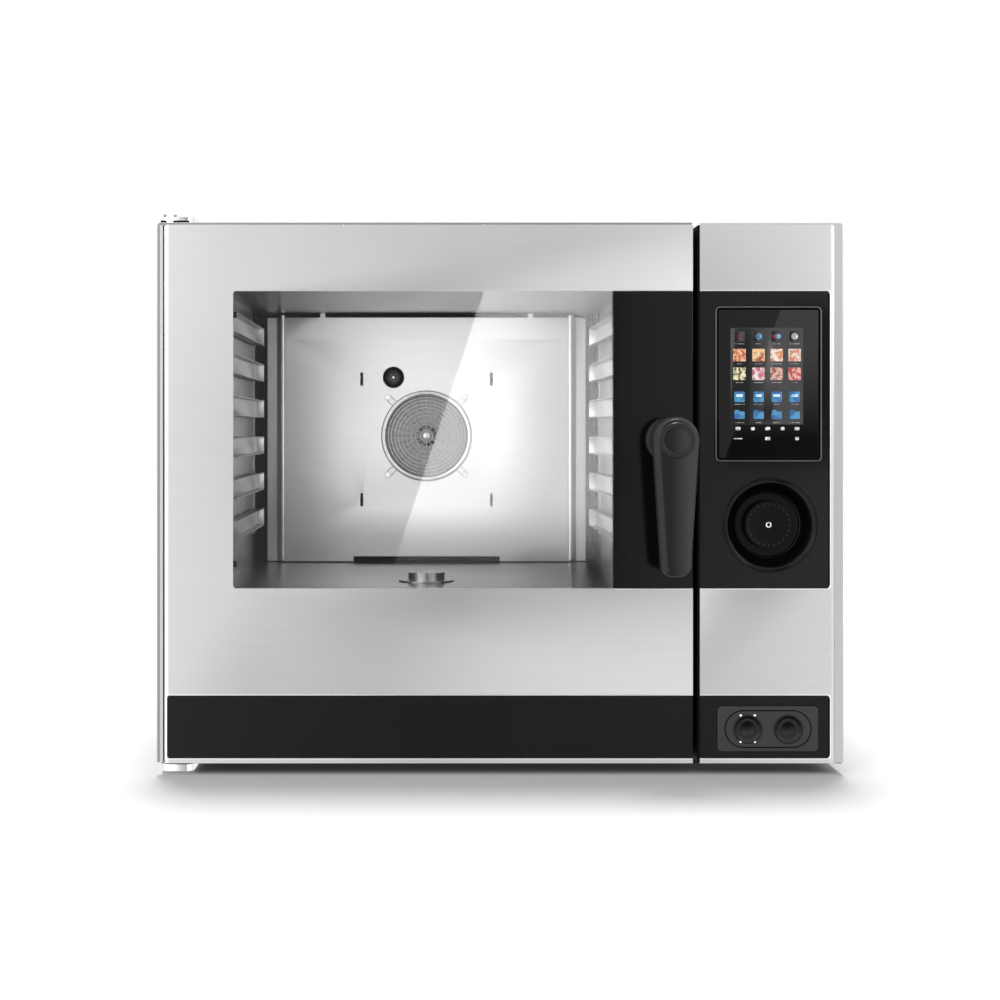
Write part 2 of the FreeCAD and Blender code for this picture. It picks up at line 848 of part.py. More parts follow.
def connector_outline(d0, d1):
    half_x = connector_width / 2
    half_z = connector_height / 2
    return plate(connector_x - half_x, connector_x + half_x, d0, d1,
                 connector_z - half_z, connector_z + half_z, connector_corner)


def socket_places():
    return connector_x - socket_spacing / 2, connector_x + socket_spacing / 2


def connector_surround():
    shape = connector_outline(0, connector_thickness)
    return shape.cut([rod_y(socket_radius, x, connector_z, -1, body_depth) for x in socket_places()])


def probe_socket():
    x = socket_places()[0]
    body = rod_y(socket_radius, x, connector_z, 0, 2 * connector_thickness)
    return body.cut(rod_y(socket_bore, x, connector_z, -1, connector_thickness))


def data_port():
    x = socket_places()[1]
    body = rod_y(socket_radius, x, connector_z, 0, 2 * connector_thickness)
    return body.cut(rod_y(port_bore, x, connector_z, -1, connector_thickness))


def pull_cap(x, bore):
    """A dished flange with a plug that fills the socket's mouth."""
    front = -body_gap - cap_flange_thickness
    flange = rod_y(cap_flange_radius, x, connector_z, front, -body_gap)
    plug = rod_y(bore - plug_slack, x, connector_z, -body_gap, plug_length)
    dish = cone_y(cap_flange_radius - cap_flange_thickness, cap_flange_radius / 2, x, connector_z,
                  front, -body_gap - cap_dish_floor)
    return joined([flange, plug]).cut(dish)


def board(x0, x1, d0, z0, z1, parts):
    """A circuit board across the column with a row of block-shaped components behind it."""
    solids = [block(x0, x1, d0, d0 + board_thickness, z0, z1)]
    step = (z1 - z0) / (2 * parts + 1)
    for number in range(parts):
        low = z0 + (2 * number + 1) * step
        solids.append(block(x0 + board_part_height, x1 - board_part_height, d0 + board_thickness,
                            d0 + board_thickness + board_part_height, low, low + step))
    return joined(solids)


def control_board():
    return board(screen_left, screen_right, screen_thickness, screen_bottom, screen_top,
                 control_board_parts)


def power_board():
    depth = body_depth / 2
    return board(screen_left, half_width - sheet, depth, strip_top, band_bottom + knob_rise,
                 power_board_parts)


def cooling_fan_frame():
    half = cooler_side / 2
    d1 = body_depth - sheet
    d0 = d1 - cooler_thickness
    frame = block(cooler_x - half, cooler_x + half, d0, d1, cooler_z - half, cooler_z + half)
    tunnel = rod_y(half - 2 * sheet, cooler_x, cooler_z, 0, body_depth)
    hub = rod_y(hub_radius, cooler_x, cooler_z, d1 - cooler_bar, d1)
    bar = block(cooler_x, cooler_x + half - sheet, d1 - cooler_bar / 2, d1, cooler_z - cooler_bar / 2,
                cooler_z + cooler_bar / 2)
    bars = [turned(bar, cooler_x, cooler_z, (number + 0.5) * 360 / cooler_bars)
            for number in range(cooler_bars)]
    pivot = rod_y(shaft_radius, cooler_x, cooler_z, d0 + cooler_bar, d1)
    return joined([frame.cut(tunnel), hub, pivot] + bars)


def cooling_fan_rotor():
    half = cooler_side / 2
    d1 = body_depth - sheet - cooler_bar - body_gap
    d0 = d1 - cooler_rotor_thickness
    hub = rod_y(hub_radius, cooler_x, cooler_z, d0, d1)
    blades = []
    for number in range(cooler_blades):
        blade = block(cooler_x + hub_radius - 1, cooler_x + half - cooler_bar,
                      d0 + cooler_blade_inset, d0 + cooler_blade_inset + cooler_blade_thickness,
                      cooler_z - hub_radius / 2, cooler_z + hub_radius / 2)
        blades.append(turned(blade, cooler_x, cooler_z, number * 360 / cooler_blades))
    return joined([hub] + blades).cut(
        rod_y(shaft_radius + running_fit, cooler_x, cooler_z, 0, body_depth))


def water_places():
    return water_x - water_spacing / 2, water_x + water_spacing / 2


def water_valves():
    """Solenoid block with two threaded hose inlets through the rear panel."""
    d1 = body_depth - sheet
    left, right = water_places()
    body = block(left - 2 * water_radius, right + 2 * water_radius, d1 - valve_length, d1,
                 water_z - valve_height / 2, water_z + valve_height / 2)
    inlets = [rod_y(water_radius, x, water_z, d1, body_depth + water_reach)
              for x in water_places()]
    bores = [rod_y(water_bore, x, water_z, d1 - valve_length / 2, 2 * body_depth) for x in water_places()]
    return joined([body] + inlets).cut(bores)


def cable_gland():
    d1 = body_depth + gland_length / 2
    inner = rod_y(gland_bore / 2 + bolt_gap, gland_x, gland_z, body_depth - gland_length / 2, d1)
    nut = rod_y(gland_radius, gland_x, gland_z, body_depth, d1)
    return joined([inner, nut]).cut(rod_y(gland_bore / 2, gland_x, gland_z, 0, 2 * body_depth))


# Door

def door_skin():
    depth = door_thickness - door_back_pan
    shell = hollow_rounded(door_left, door_right, 0, depth, casing_bottom, casing_top,
                           door_edge_radius, True)
    return shell.cut([block(window_left, door_right + 1, -1, panel_thickness, band_bottom, band_top),
                      block(door_left + strip_reveal, door_right + 1, -1, panel_thickness,
                            strip_bottom, strip_top),
                      rod_z(hinge_pin_radius + bolt_gap, hinge_x, hinge_depth, 0, 2 * casing_top)])


def door_outer_glass():
    return block(window_left, window_right, 0, panel_thickness, band_bottom, band_top)


def handle_panel():
    shape = block(window_right, door_right, 0, panel_thickness, band_bottom, band_top)
    return shape.cut(rod_y(spindle_radius + bolt_gap, handle_x, band_z, -1, body_depth))


def door_lower_strip():
    return block(door_left + strip_reveal, door_right, 0, panel_thickness, strip_bottom, strip_top)


def hinge_bush():
    top = casing_top - sheet
    half = bush_side / 2
    shape = block(hinge_x - half, hinge_x + half, hinge_depth - half, hinge_depth + half,
                  top - hinge_pin_length - sheet, top)
    return shape.cut(rod_z(hinge_pin_radius + running_fit, hinge_x, hinge_depth, 0, 2 * casing_top))


def hinge_bushes():
    return Part.makeCompound([hinge_bush(), upside_down(hinge_bush())])


def glass_block(grow, d0, d1):
    reach = glass_overlap + grow
    return block(cavity_left - reach, cavity_right + reach, d0, d1,
                 cavity_floor - reach, cavity_top + reach)


def door_inner_frame():
    """Rear pan of the door with a stepped opening that holds the inner glass."""
    d0 = door_thickness - door_back_pan
    seat = door_thickness - glass_thickness
    outer = block(door_left, door_right, d0, door_thickness, casing_bottom, casing_top)
    pocket = block(door_left + sheet, door_right - sheet, d0 - 1, door_thickness - sheet,
                   casing_bottom + sheet, casing_top - sheet)
    step = glass_block(sheet, seat - sheet, door_thickness)
    pan = joined([outer.cut(pocket), step])
    return pan.cut([glass_block(assembly_gap, seat, body_depth),
                    glass_block(-glass_ledge, 0, body_depth),
                    rod_y(spindle_radius + bolt_gap, handle_x, band_z, 0, body_depth)])


def door_inner_glass():
    return glass_block(0, door_thickness - glass_thickness, door_thickness)


def glass_clips():
    """Dark stops on the ledge at the four corners of the window."""
    d1 = door_thickness - glass_thickness - sheet
    left = cavity_left - glass_overlap + glass_ledge - sheet
    clips = []
    for z in (cavity_floor + clip_inset, cavity_top - clip_inset):
        clip = block(left - sheet, left - sheet + clip_length, d1 - 2 * sheet, d1,
                     z - clip_height / 2, z + clip_height / 2)
        clips += [clip, mirrored(clip, cavity_x)]
    return Part.makeCompound(clips)


def latch_housing():
    d0 = panel_thickness
    half = latch_side / 2
    shape = block(handle_x - half, handle_x + half / 2, d0, d0 + latch_thickness, band_z - half,
                  band_z + half)
    return shape.cut(rod_y(spindle_radius + running_fit, handle_x, band_z, 0, body_depth))


def latch_strike():
    d0 = cavity_front
    outer = rod_y(strike_radius + strike_wall, handle_x, band_z, d0, d0 + strike_length)
    return outer.cut(rod_y(strike_radius, handle_x, band_z, 0, body_depth))


# Handle

def lever_outline(depth):
    """Two round ends joined by tangent sides, as a face across the depth."""
    end_z = band_z - lever_length + lever_tip_radius
    lean = math.asin((lever_head_radius - lever_tip_radius) / (band_z - end_z))

    def at(centre_z, radius, angle):
        return point(handle_x + radius * math.cos(angle), depth, centre_z + radius * math.sin(angle))

    def side_points(centre_z, radius):
        return at(centre_z, radius, -lean), at(centre_z, radius, math.pi + lean)

    head_right, head_left = side_points(band_z, lever_head_radius)
    tip_right, tip_left = side_points(end_z, lever_tip_radius)
    head_top = at(band_z, lever_head_radius, math.pi / 2)
    tip_low = at(end_z, lever_tip_radius, -math.pi / 2)
    edges = [Part.Arc(head_right, head_top, head_left).toShape(),
             Part.LineSegment(head_left, tip_left).toShape(),
             Part.Arc(tip_left, tip_low, tip_right).toShape(),
             Part.LineSegment(tip_right, head_right).toShape()]
    return Part.Face(Part.Wire(edges))


def handle_lever():
    front = cap_proud - handle_reach
    back = front + lever_thickness
    bar = lever_outline(front).extrude(Vector(0, lever_thickness, 0))
    bar = bar.makeFillet(lever_round, [edge for edge in bar.Edges
                                       if abs(edge.BoundBox.YMax - front_y - front) < place_slack])
    neck = cone_y(neck_radius, neck_base_radius, handle_x, band_z, back, -body_gap)
    recess = rod_y(cap_radius + assembly_gap, handle_x, band_z, front - 1,
                   cap_thickness - handle_reach)
    bore = rod_y(spindle_radius, handle_x, band_z, -body_gap - spindle_grip, 0)
    return joined([bar, neck]).cut([recess, bore])


def handle_cap():
    front = -handle_reach
    shape = rod_y(cap_radius, handle_x, band_z, front, front + cap_thickness)
    return shape.cut(rod_y(cap_dish_radius, handle_x, band_z, front - 1, front + cap_dish_depth))


def latch_spindle():
    """Spindle through the door with a flat tongue that turns inside the strike ring."""
    rod = rod_y(spindle_radius, handle_x, band_z, -body_gap - spindle_grip, tongue_depth)
    bar = block(handle_x - tongue_width / 2, handle_x + tongue_width / 2, tongue_depth,
                tongue_depth + tongue_thickness, band_z - tongue_radius, band_z + tongue_radius)
    return joined([rod, bar])


left_rack = rack_left()
shapes = {
    "base_tray": base_tray(),
    "side_panel_left": side_panel(-half_width),
    "side_panel_right": side_panel(half_width - sheet),
    "top_panel": top_panel(),
    "rear_panel": rear_panel(),
    "front_frame": front_frame(),
    "feet": feet(),
    "screws": screws(),
    "hinge_brackets": hinge_brackets(),
    "cavity_liner": cavity_liner(),
    "insulation": insulation(),
    "door_gasket": door_gasket(),
    "rack_left": left_rack,
    "rack_right": mirrored(left_rack, cavity_x),
    "rack_studs": rack_studs(),
    "drain_cover": drain_cover(),
    "drain_pipe": drain_pipe(),
    "vent_pipe": vent_pipe(),
    "vent_flap": vent_flap(),
    "fan_deflector": fan_deflector(),
    "suction_grille": suction_grille(),
    "motor_shaft": motor_shaft(),
    "fan_wheel": fan_wheel(),
    "fan_motor": fan_motor(),
    "heating_element": heating_element(),
    "wash_nozzle": wash_nozzle(),
    "steam_pipe": steam_pipe(),
    "control_fascia": control_fascia(),
    "control_panel": control_panel(),
    "lower_panel": lower_panel(),
    "screen_bezel": screen_bezel(),
    "touch_screen": touch_screen(),
    "knob_dish": knob_dish(),
    "encoder_body": encoder_body(),
    "encoder_shaft": encoder_shaft(),
    "knob": knob(),
    "connector_surround": connector_surround(),
    "probe_socket": probe_socket(),
    "data_port": data_port(),
    "probe_cap": pull_cap(socket_places()[0], socket_bore),
    "port_cap": pull_cap(socket_places()[1], port_bore),
    "control_board": control_board(),
    "power_board": power_board(),
    "cooling_fan_frame": cooling_fan_frame(),
    "cooling_fan_rotor": cooling_fan_rotor(),
    "water_valves": water_valves(),
    "cable_gland": cable_gland(),
    "door_skin": door_skin(),
    "door_outer_glass": door_outer_glass(),
    "handle_panel": handle_panel(),
    "door_lower_strip": door_lower_strip(),
    "hinge_bushes": hinge_bushes(),
    "door_inner_frame": door_inner_frame(),
    "door_inner_glass": door_inner_glass(),
    "glass_clips": glass_clips(),
    "latch_housing": latch_housing(),
    "latch_strike": latch_strike(),
    "handle_lever": handle_lever(),
    "handle_cap": handle_cap(),
    "latch_spindle": latch_spindle(),
}

os.makedirs("parts", exist_ok=True)
for name, shape in shapes.items():
    shape.exportStep("parts/" + name + ".step")
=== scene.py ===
import json
import math

import bmesh
import bpy
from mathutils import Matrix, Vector

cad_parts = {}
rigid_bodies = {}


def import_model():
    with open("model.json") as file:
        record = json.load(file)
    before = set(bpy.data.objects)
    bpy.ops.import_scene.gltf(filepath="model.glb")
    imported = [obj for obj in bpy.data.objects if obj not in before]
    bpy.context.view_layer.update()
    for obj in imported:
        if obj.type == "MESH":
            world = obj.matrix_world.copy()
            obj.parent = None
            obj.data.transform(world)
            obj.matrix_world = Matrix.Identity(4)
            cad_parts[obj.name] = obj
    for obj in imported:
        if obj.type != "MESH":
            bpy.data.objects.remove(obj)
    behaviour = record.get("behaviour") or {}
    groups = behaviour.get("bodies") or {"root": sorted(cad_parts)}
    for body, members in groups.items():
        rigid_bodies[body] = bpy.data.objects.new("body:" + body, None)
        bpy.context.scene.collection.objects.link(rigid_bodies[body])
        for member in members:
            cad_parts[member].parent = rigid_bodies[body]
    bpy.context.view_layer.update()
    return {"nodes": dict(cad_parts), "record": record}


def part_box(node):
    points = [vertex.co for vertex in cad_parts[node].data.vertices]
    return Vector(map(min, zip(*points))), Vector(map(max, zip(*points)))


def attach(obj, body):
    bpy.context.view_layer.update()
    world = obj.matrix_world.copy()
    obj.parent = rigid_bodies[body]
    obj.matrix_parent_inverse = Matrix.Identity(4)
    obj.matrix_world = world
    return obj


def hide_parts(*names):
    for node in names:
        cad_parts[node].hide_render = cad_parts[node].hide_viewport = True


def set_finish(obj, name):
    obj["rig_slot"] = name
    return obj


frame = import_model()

NODES = frame["nodes"]
MM = 0.001

# The camera, in metres: its distance from the door's face, its place across and its height
FRONT_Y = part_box("door_skin")[0].y
EYE_DISTANCE = 2.0
EYE_X = -0.0955
EYE_Z = 0.442
LENS = 56.2
FRAME_SHIFT = (0.073, -0.070)


def set_camera():
    data = bpy.data.cameras.new("camera")
    data.sensor_width = 36.0
    data.lens = LENS
    data.shift_x, data.shift_y = FRAME_SHIFT
    data.clip_start = 0.01
    camera = bpy.data.objects.new("camera", data)
    camera.location = (EYE_X, FRONT_Y - EYE_DISTANCE, EYE_Z)
    camera.rotation_euler = (math.radians(90), 0, 0)
    bpy.context.scene.collection.objects.link(camera)
    bpy.context.scene.camera = camera


# Node helpers

class Nodes:
    """A node tree with short calls for the nodes used here."""

    def __init__(self, tree):
        self.tree = tree

    def node(self, kind, **values):
        made = self.tree.nodes.new(kind)
        for key, value in values.items():
            setattr(made, key, value)
        return made

    def link(self, source, target):
        self.tree.links.new(source, target)

    def split(self, kind):
        """The X, Y and Z of a texture coordinate, such as Object or Normal."""
        coordinates = self.node("ShaderNodeTexCoord")
        parts = self.node("ShaderNodeSeparateXYZ")
        self.link(coordinates.outputs[kind], parts.inputs["Vector"])
        return parts.outputs

    def span(self, value, low, high, start=0.0, end=1.0, curve="LINEAR"):
        """Maps a value from start..end to low..high."""
        node = self.node("ShaderNodeMapRange", interpolation_type=curve)
        node.inputs["From Min"].default_value = start
        node.inputs["From Max"].default_value = end
        node.inputs["To Min"].default_value = low
        node.inputs["To Max"].default_value = high
        self.link(value, node.inputs["Value"])
        return node.outputs["Result"]


class Shader(Nodes):
    """A material, made by setting and linking its surface."""

    def __init__(self, name):
        self.material = bpy.data.materials.new(name)
        self.material.use_nodes = True
        super().__init__(self.material.node_tree)
        self.surface = self.tree.nodes["Principled BSDF"]
        self.output = self.tree.nodes["Material Output"]

    def set(self, **values):
        for key, value in values.items():
            self.surface.inputs[key.replace("_", " ")].default_value = value

    def place(self, scale):
        """Object coordinates, scaled along each axis."""
        coordinates = self.node("ShaderNodeTexCoord")
        mapping = self.node("ShaderNodeMapping")
        mapping.inputs["Scale"].default_value = scale
        self.link(coordinates.outputs["Object"], mapping.inputs["Vector"])
        return mapping.outputs["Vector"]

    def noise(self, scale, detail=3.0, stretch=(1, 1, 1), roughness=0.5):
        texture = self.node("ShaderNodeTexNoise")
        texture.inputs["Scale"].default_value = scale
        texture.inputs["Detail"].default_value = detail
        texture.inputs["Roughness"].default_value = roughness
        self.link(self.place(stretch), texture.inputs["Vector"])
        return texture.outputs["Fac"]

    def blend(self, factor, first, second):
        mix = self.node("ShaderNodeMix", data_type="RGBA")
        self.link(factor, mix.inputs["Factor"])
        for socket, colour in ((mix.inputs[6], first), (mix.inputs[7], second)):
            if isinstance(colour, (tuple, list)):
                socket.default_value = (*colour[:3], 1.0)
            else:
                self.link(colour, socket)
        return mix.outputs[2]

    def colour(self, source):
        self.link(source, self.surface.inputs["Base Color"])

    def rough(self, source):
        self.link(source, self.surface.inputs["Roughness"])

    def bump(self, source, distance, strength=1.0):
        node = self.node("ShaderNodeBump")
        node.inputs["Distance"].default_value = distance
        node.inputs["Strength"].default_value = strength
        self.link(source, node.inputs["Height"])
        self.link(node.outputs["Normal"], self.surface.inputs["Normal"])


def brushed_steel(name, colour, roughness, stretch, anisotropy=0.4):
    """Stainless sheet whose fine scratches run along the axis with the small stretch."""
    shader = Shader(name)
    streaks = shader.noise(420.0, 2.0, stretch, 0.6)
    clouds = shader.noise(3.0, 2.0)
    tint = shader.blend(shader.span(streaks, 0.0, 1.0, 0.3, 0.7),
                        [c * 0.975 for c in colour], [min(1.0, c * 1.02) for c in colour])
    shader.colour(tint)
    shader.rough(shader.span(clouds, roughness - 0.03, roughness + 0.04, 0.3, 0.7))
    shader.bump(streaks, 0.000003, 0.3)
    shader.set(Metallic=1.0, Anisotropic=anisotropy)
    return shader.material


def moulded_plastic(name, colour, roughness, grain=900.0, depth=0.00003, specular=0.35):
    shader = Shader(name)
    fine = shader.noise(grain, 2.0)
    clouds = shader.noise(9.0, 3.0)
    tint = shader.blend(clouds, [c * 0.88 for c in colour], [c * 1.12 for c in colour])
    shader.colour(tint)
    shader.rough(shader.span(fine, roughness - 0.06, roughness + 0.06, 0.3, 0.7))
    shader.bump(fine, depth, 0.5)
    shader.set(Specular_IOR_Level=specular)
    return shader.material


def black_glass(name, colour, roughness, specular, spread=0.03):
    shader = Shader(name)
    smudge = shader.noise(7.0, 4.0)
    tint = shader.blend(smudge, [c * 0.93 for c in colour], [c * 1.07 for c in colour])
    shader.colour(tint)
    shader.rough(shader.span(smudge, roughness - spread, roughness + spread, 0.3, 0.7))
    shader.set(Specular_IOR_Level=specular)
    return shader.material


def clear_glass(name, tint, gloss):
    """Thin pane: light passes straight through and a share of it is mirrored."""
    shader = Shader(name)
    smudge = shader.noise(6.0, 3.0)
    shader.set(Metallic=1.0)
    shader.colour(shader.blend(smudge, (0.93, 0.95, 0.95), (1.0, 1.0, 1.0)))
    shader.rough(shader.span(smudge, 0.015, 0.04, 0.3, 0.7))
    clear = shader.node("ShaderNodeBsdfTransparent")
    clear.inputs["Color"].default_value = (*tint, 1.0)
    weight = shader.node("ShaderNodeLayerWeight")
    weight.inputs["Blend"].default_value = 0.08
    share = shader.span(weight.outputs["Fresnel"], gloss, 0.9)
    mix = shader.node("ShaderNodeMixShader")
    shader.link(share, mix.inputs["Fac"])
    shader.link(clear.outputs["BSDF"], mix.inputs[1])
    shader.link(shader.surface.outputs["BSDF"], mix.inputs[2])
    shader.link(mix.outputs["Shader"], shader.output.inputs["Surface"])
    return shader.material


def grip_plastic_painted_light(name, left, right, edge, start, end):
    """Dark plastic with painted light: it lightens from left to right, and faces turned to the left take
    a lighter colour of their own as a painted highlight.
    """
    shader = Shader(name)
    fine = shader.noise(900.0, 2.0)
    # Painted light: darker at the left, lighter at the right.
    across = shader.span(shader.split("Object")["X"], 0.0, 1.0, start, end)
    # Painted highlight on faces turned to the left.
    flank = shader.span(shader.split("Normal")["X"], 0.0, 1.0, -0.15, -0.45)
    shader.colour(shader.blend(flank, shader.blend(across, left, right), edge))
    shader.rough(shader.span(fine, 0.34, 0.46, 0.3, 0.7))
    shader.bump(fine, 0.00003, 0.5)
    shader.set(Specular_IOR_Level=0.14)
    return shader.material


def cap_plastic(name, low, high):
    """Dark plastic with painted light: lighter where it faces up."""
    shader = Shader(name)
    fine = shader.noise(900.0, 2.0)
    # Painted light from above: faces turned up are lighter.
    painted_top_light = shader.span(shader.split("Normal")["Z"], 0.0, 1.0, -0.30, 0.35)
    shader.colour(shader.blend(painted_top_light, low, high))
    shader.rough(shader.span(fine, 0.30, 0.40, 0.3, 0.7))
    shader.set(Specular_IOR_Level=0.06)
    return shader.material


def fibre(name, light, dark, scale):
    shader = Shader(name)
    fuzz = shader.noise(scale, 6.0, (1, 1, 2.5), 0.7)
    shader.colour(shader.blend(fuzz, dark, light))
    shader.bump(fuzz, 0.002, 0.8)
    shader.set(Roughness=0.95)
    return shader.material


def circuit(name):
    """Green board with darker tracks."""
    shader = Shader(name)
    tracks = shader.node("ShaderNodeTexBrick")
    tracks.inputs["Scale"].default_value = 60.0
    tracks.inputs["Color1"].default_value = (0.01, 0.11, 0.04, 1)
    tracks.inputs["Color2"].default_value = (0.015, 0.16, 0.06, 1)
    tracks.inputs["Mortar"].default_value = (0.35, 0.28, 0.1, 1)
    shader.link(shader.place((1, 1, 1)), tracks.inputs["Vector"])
    shader.colour(tracks.outputs["Color"])
    shader.set(Roughness=0.4)
    return shader.material


def lit_tile(name, light, dark, strength, scale):
    """A small lit picture on the display: two tones in soft blobs under glass."""
    shader = Shader(name)
    blobs = shader.noise(scale, 2.0)
    picture = shader.blend(shader.span(blobs, 0.0, 1.0, 0.42, 0.58), dark, light)
    shader.link(picture, shader.surface.inputs["Emission Color"])
    shader.set(Emission_Strength=strength, Roughness=0.08, Base_Color=(0.01, 0.01, 0.01, 1))
    return shader.material


HORIZONTAL = (0.02, 1.0, 1.0)
VERTICAL = (1.0, 1.0, 0.02)
FRONT_TO_BACK = (1.0, 0.02, 1.0)

STEEL = brushed_steel("steel_front", (0.58, 0.58, 0.584), 0.30, HORIZONTAL, 0.5)
STEEL_SIDE = brushed_steel("steel_side", (0.40, 0.40, 0.405), 0.42, FRONT_TO_BACK)
STEEL_TOP = brushed_steel("steel_top", (0.30, 0.30, 0.303), 0.50, HORIZONTAL)
STEEL_INNER = brushed_steel("steel_inner", (0.37, 0.37, 0.368), 0.30, VERTICAL, 0.2)
STEEL_RACK = brushed_steel("steel_rack", (0.50, 0.50, 0.495), 0.34, FRONT_TO_BACK, 0.2)
STEEL_DEFLECTOR = brushed_steel("steel_deflector", (0.74, 0.74, 0.735), 0.36, HORIZONTAL, 0.2)
WIRE = brushed_steel("grille_wire", (0.56, 0.56, 0.56), 0.22, (1, 1, 1), 0.0)
CHROME = brushed_steel("chrome", (0.84, 0.84, 0.85), 0.14, (1, 1, 1), 0.0)
CHROME_BRIGHT = brushed_steel("chrome_bright", (0.95, 0.95, 0.95), 0.2, (1, 1, 1), 0.0)
BLACK = black_glass("black_glass", (0.0022, 0.0022, 0.0022), 0.10, 0.24)
STRIP = black_glass("black_strip", (0.0055, 0.0046, 0.0042), 0.30, 0.16)
SCREEN = black_glass("screen_glass", (0.0040, 0.0038, 0.0036), 0.016, 0.20, 0.006)
GLASS = clear_glass("clear_glass", (0.985, 0.987, 0.986), 0.012)
GLASS_INNER = clear_glass("clear_glass_inner", (0.985, 0.987, 0.986), 0.004)
# A lighter copy of the steel: painted highlight on the lips round the dark panels.
STEEL_LIP_HIGHLIGHT = brushed_steel("steel_lip_painted_highlight", (0.82, 0.82, 0.825), 0.30, HORIZONTAL, 0.2)
# Darker copies of the steel: painted shade on rolled edges, the column's right edge and the hinge screw
# heads.
STEEL_EDGE_SHADE_DARK = brushed_steel("steel_edge_dark_painted_shade", (0.27, 0.27, 0.27), 0.42, VERTICAL, 0.2)
STEEL_EDGE_SHADE_PALE = brushed_steel("steel_edge_pale_painted_shade", (0.52, 0.52, 0.52), 0.42, VERTICAL, 0.2)
# Painted shade: near-black for the underside, which lies in shade.
UNDERSIDE_SHADE = moulded_plastic("underside_painted_shade", (0.010, 0.010, 0.010), 0.6, specular=0.05)
# Handle plastic with painted light: darker left, lighter right, and a lighter left flank.
GRIP_PAINTED_LIGHT = grip_plastic_painted_light("grip_plastic_painted_light", (0.0080, 0.0081, 0.0083), (0.033, 0.0332, 0.0336),
                    (0.016, 0.016, 0.0162), 0.207, 0.229)
GRIP_CAP = moulded_plastic("grip_cap_plastic", (0.011, 0.0112, 0.0115), 0.34, specular=0.26)
DARK = moulded_plastic("dark_plastic", (0.0022, 0.0022, 0.0024), 0.26)
DISH = moulded_plastic("dish_plastic", (0.0016, 0.0016, 0.0017), 0.22, specular=0.12)
KNOB = moulded_plastic("knob_plastic", (0.0036, 0.0036, 0.0037), 0.34, specular=0.08)
# Lighter plastic: painted highlight on the knob dish's rim line.
DISH_RIM_HIGHLIGHT = moulded_plastic("dish_edge_painted_highlight", (0.030, 0.030, 0.030), 0.3)
TICK = moulded_plastic("knob_tick", (0.050, 0.050, 0.050), 0.4)
# Lighter plastic: painted highlight on the bezel's rim.
BEZEL_RIM_HIGHLIGHT = moulded_plastic("bezel_edge_painted_highlight", (0.085, 0.085, 0.085), 0.25)
# Cap plastic with painted light: lighter where it faces up.
CONE_PAINTED_LIGHT = cap_plastic("cap_plastic", (0.0012, 0.0012, 0.0012), (0.026, 0.026, 0.026))
# Near-black that stands in for shade: painted shade in gaps, grooves, corners and behind parts.
GAP_SHADE = moulded_plastic("dark_gap_painted_shade", (0.0012, 0.0012, 0.0012), 0.6, specular=0.05)
SURROUND = moulded_plastic("surround_plastic", (0.028, 0.028, 0.027), 0.42, specular=0.25)
NOZZLE = moulded_plastic("nozzle_enamel", (0.045, 0.045, 0.047), 0.25, specular=0.5)
RUBBER = moulded_plastic("rubber", (0.006, 0.006, 0.006), 0.65, 500.0)
WHITE = moulded_plastic("valve_plastic", (0.65, 0.65, 0.62), 0.45)
PAINT = moulded_plastic("motor_paint", (0.055, 0.06, 0.065), 0.4, 300.0, 0.0001)
WOOL = fibre("mineral_wool", (0.50, 0.44, 0.28), (0.25, 0.20, 0.11), 90.0)
BOARD = circuit("circuit_board")

# The display: each picture has a light tone, a dark tone, a strength and a grain
GROUND = lit_tile("display_ground", (0.016, 0.017, 0.019), (0.011, 0.011, 0.012), 0.7, 12.0)
TILE_DARK = lit_tile("tile_dark", (0.012, 0.009, 0.010), (0.004, 0.003, 0.004), 0.8, 60.0)
TILE_BLUE = lit_tile("tile_blue", (0.055, 0.30, 0.56), (0.012, 0.13, 0.36), 0.95, 90.0)
MARK_PALE = lit_tile("mark_pale", (0.75, 0.93, 1.0), (0.30, 0.62, 0.86), 0.95, 160.0)
MARK = lit_tile("mark_white", (1.0, 1.0, 1.0), (0.45, 0.45, 0.45), 0.95, 240.0)
LABEL = lit_tile("mark_grey", (0.42, 0.41, 0.41), (0.13, 0.13, 0.13), 0.9, 300.0)
DOT = {
    "red": lit_tile("dot_red", (0.22, 0.02, 0.02), (0.08, 0.008, 0.008), 0.8, 150.0),
    "blue": lit_tile("dot_blue", (0.20, 0.52, 0.82), (0.04, 0.16, 0.34), 0.8, 150.0),
    "white": lit_tile("dot_white", (0.95, 0.95, 0.95), (0.45, 0.42, 0.42), 0.85, 150.0),
}
FOOD = [
    [lit_tile("food_tomato", (1.0, 0.62, 0.34), (0.62, 0.07, 0.015), 0.85, 231.0),
     lit_tile("food_bread", (1.0, 0.66, 0.34), (0.42, 0.07, 0.01), 0.85, 210.0),
     lit_tile("food_cake", (1.0, 0.95, 0.88), (0.78, 0.30, 0.10), 0.85, 189.0),
     lit_tile("food_pasta", (0.95, 0.80, 0.70), (0.76, 0.28, 0.15), 0.85, 252.0)],
    [lit_tile("food_greens", (1.0, 0.94, 0.62), (0.10, 0.07, 0.01), 0.85, 231.0),
     lit_tile("food_fish", (0.98, 0.90, 0.90), (0.58, 0.14, 0.16), 0.85, 210.0),
     lit_tile("food_roast", (0.86, 0.56, 0.48), (0.34, 0.09, 0.06), 0.85, 231.0),
     lit_tile("food_meat", (0.92, 0.50, 0.46), (0.56, 0.06, 0.06), 0.85, 252.0)],
]


def dress(material, *names):
    for name in names:
        slots = NODES[name].data.materials
        slots.clear()
        slots.append(material)


dress(STEEL, "door_skin", "control_fascia", "front_frame", "door_inner_frame")
dress(STEEL_SIDE, "side_panel_left", "side_panel_right", "rear_panel")
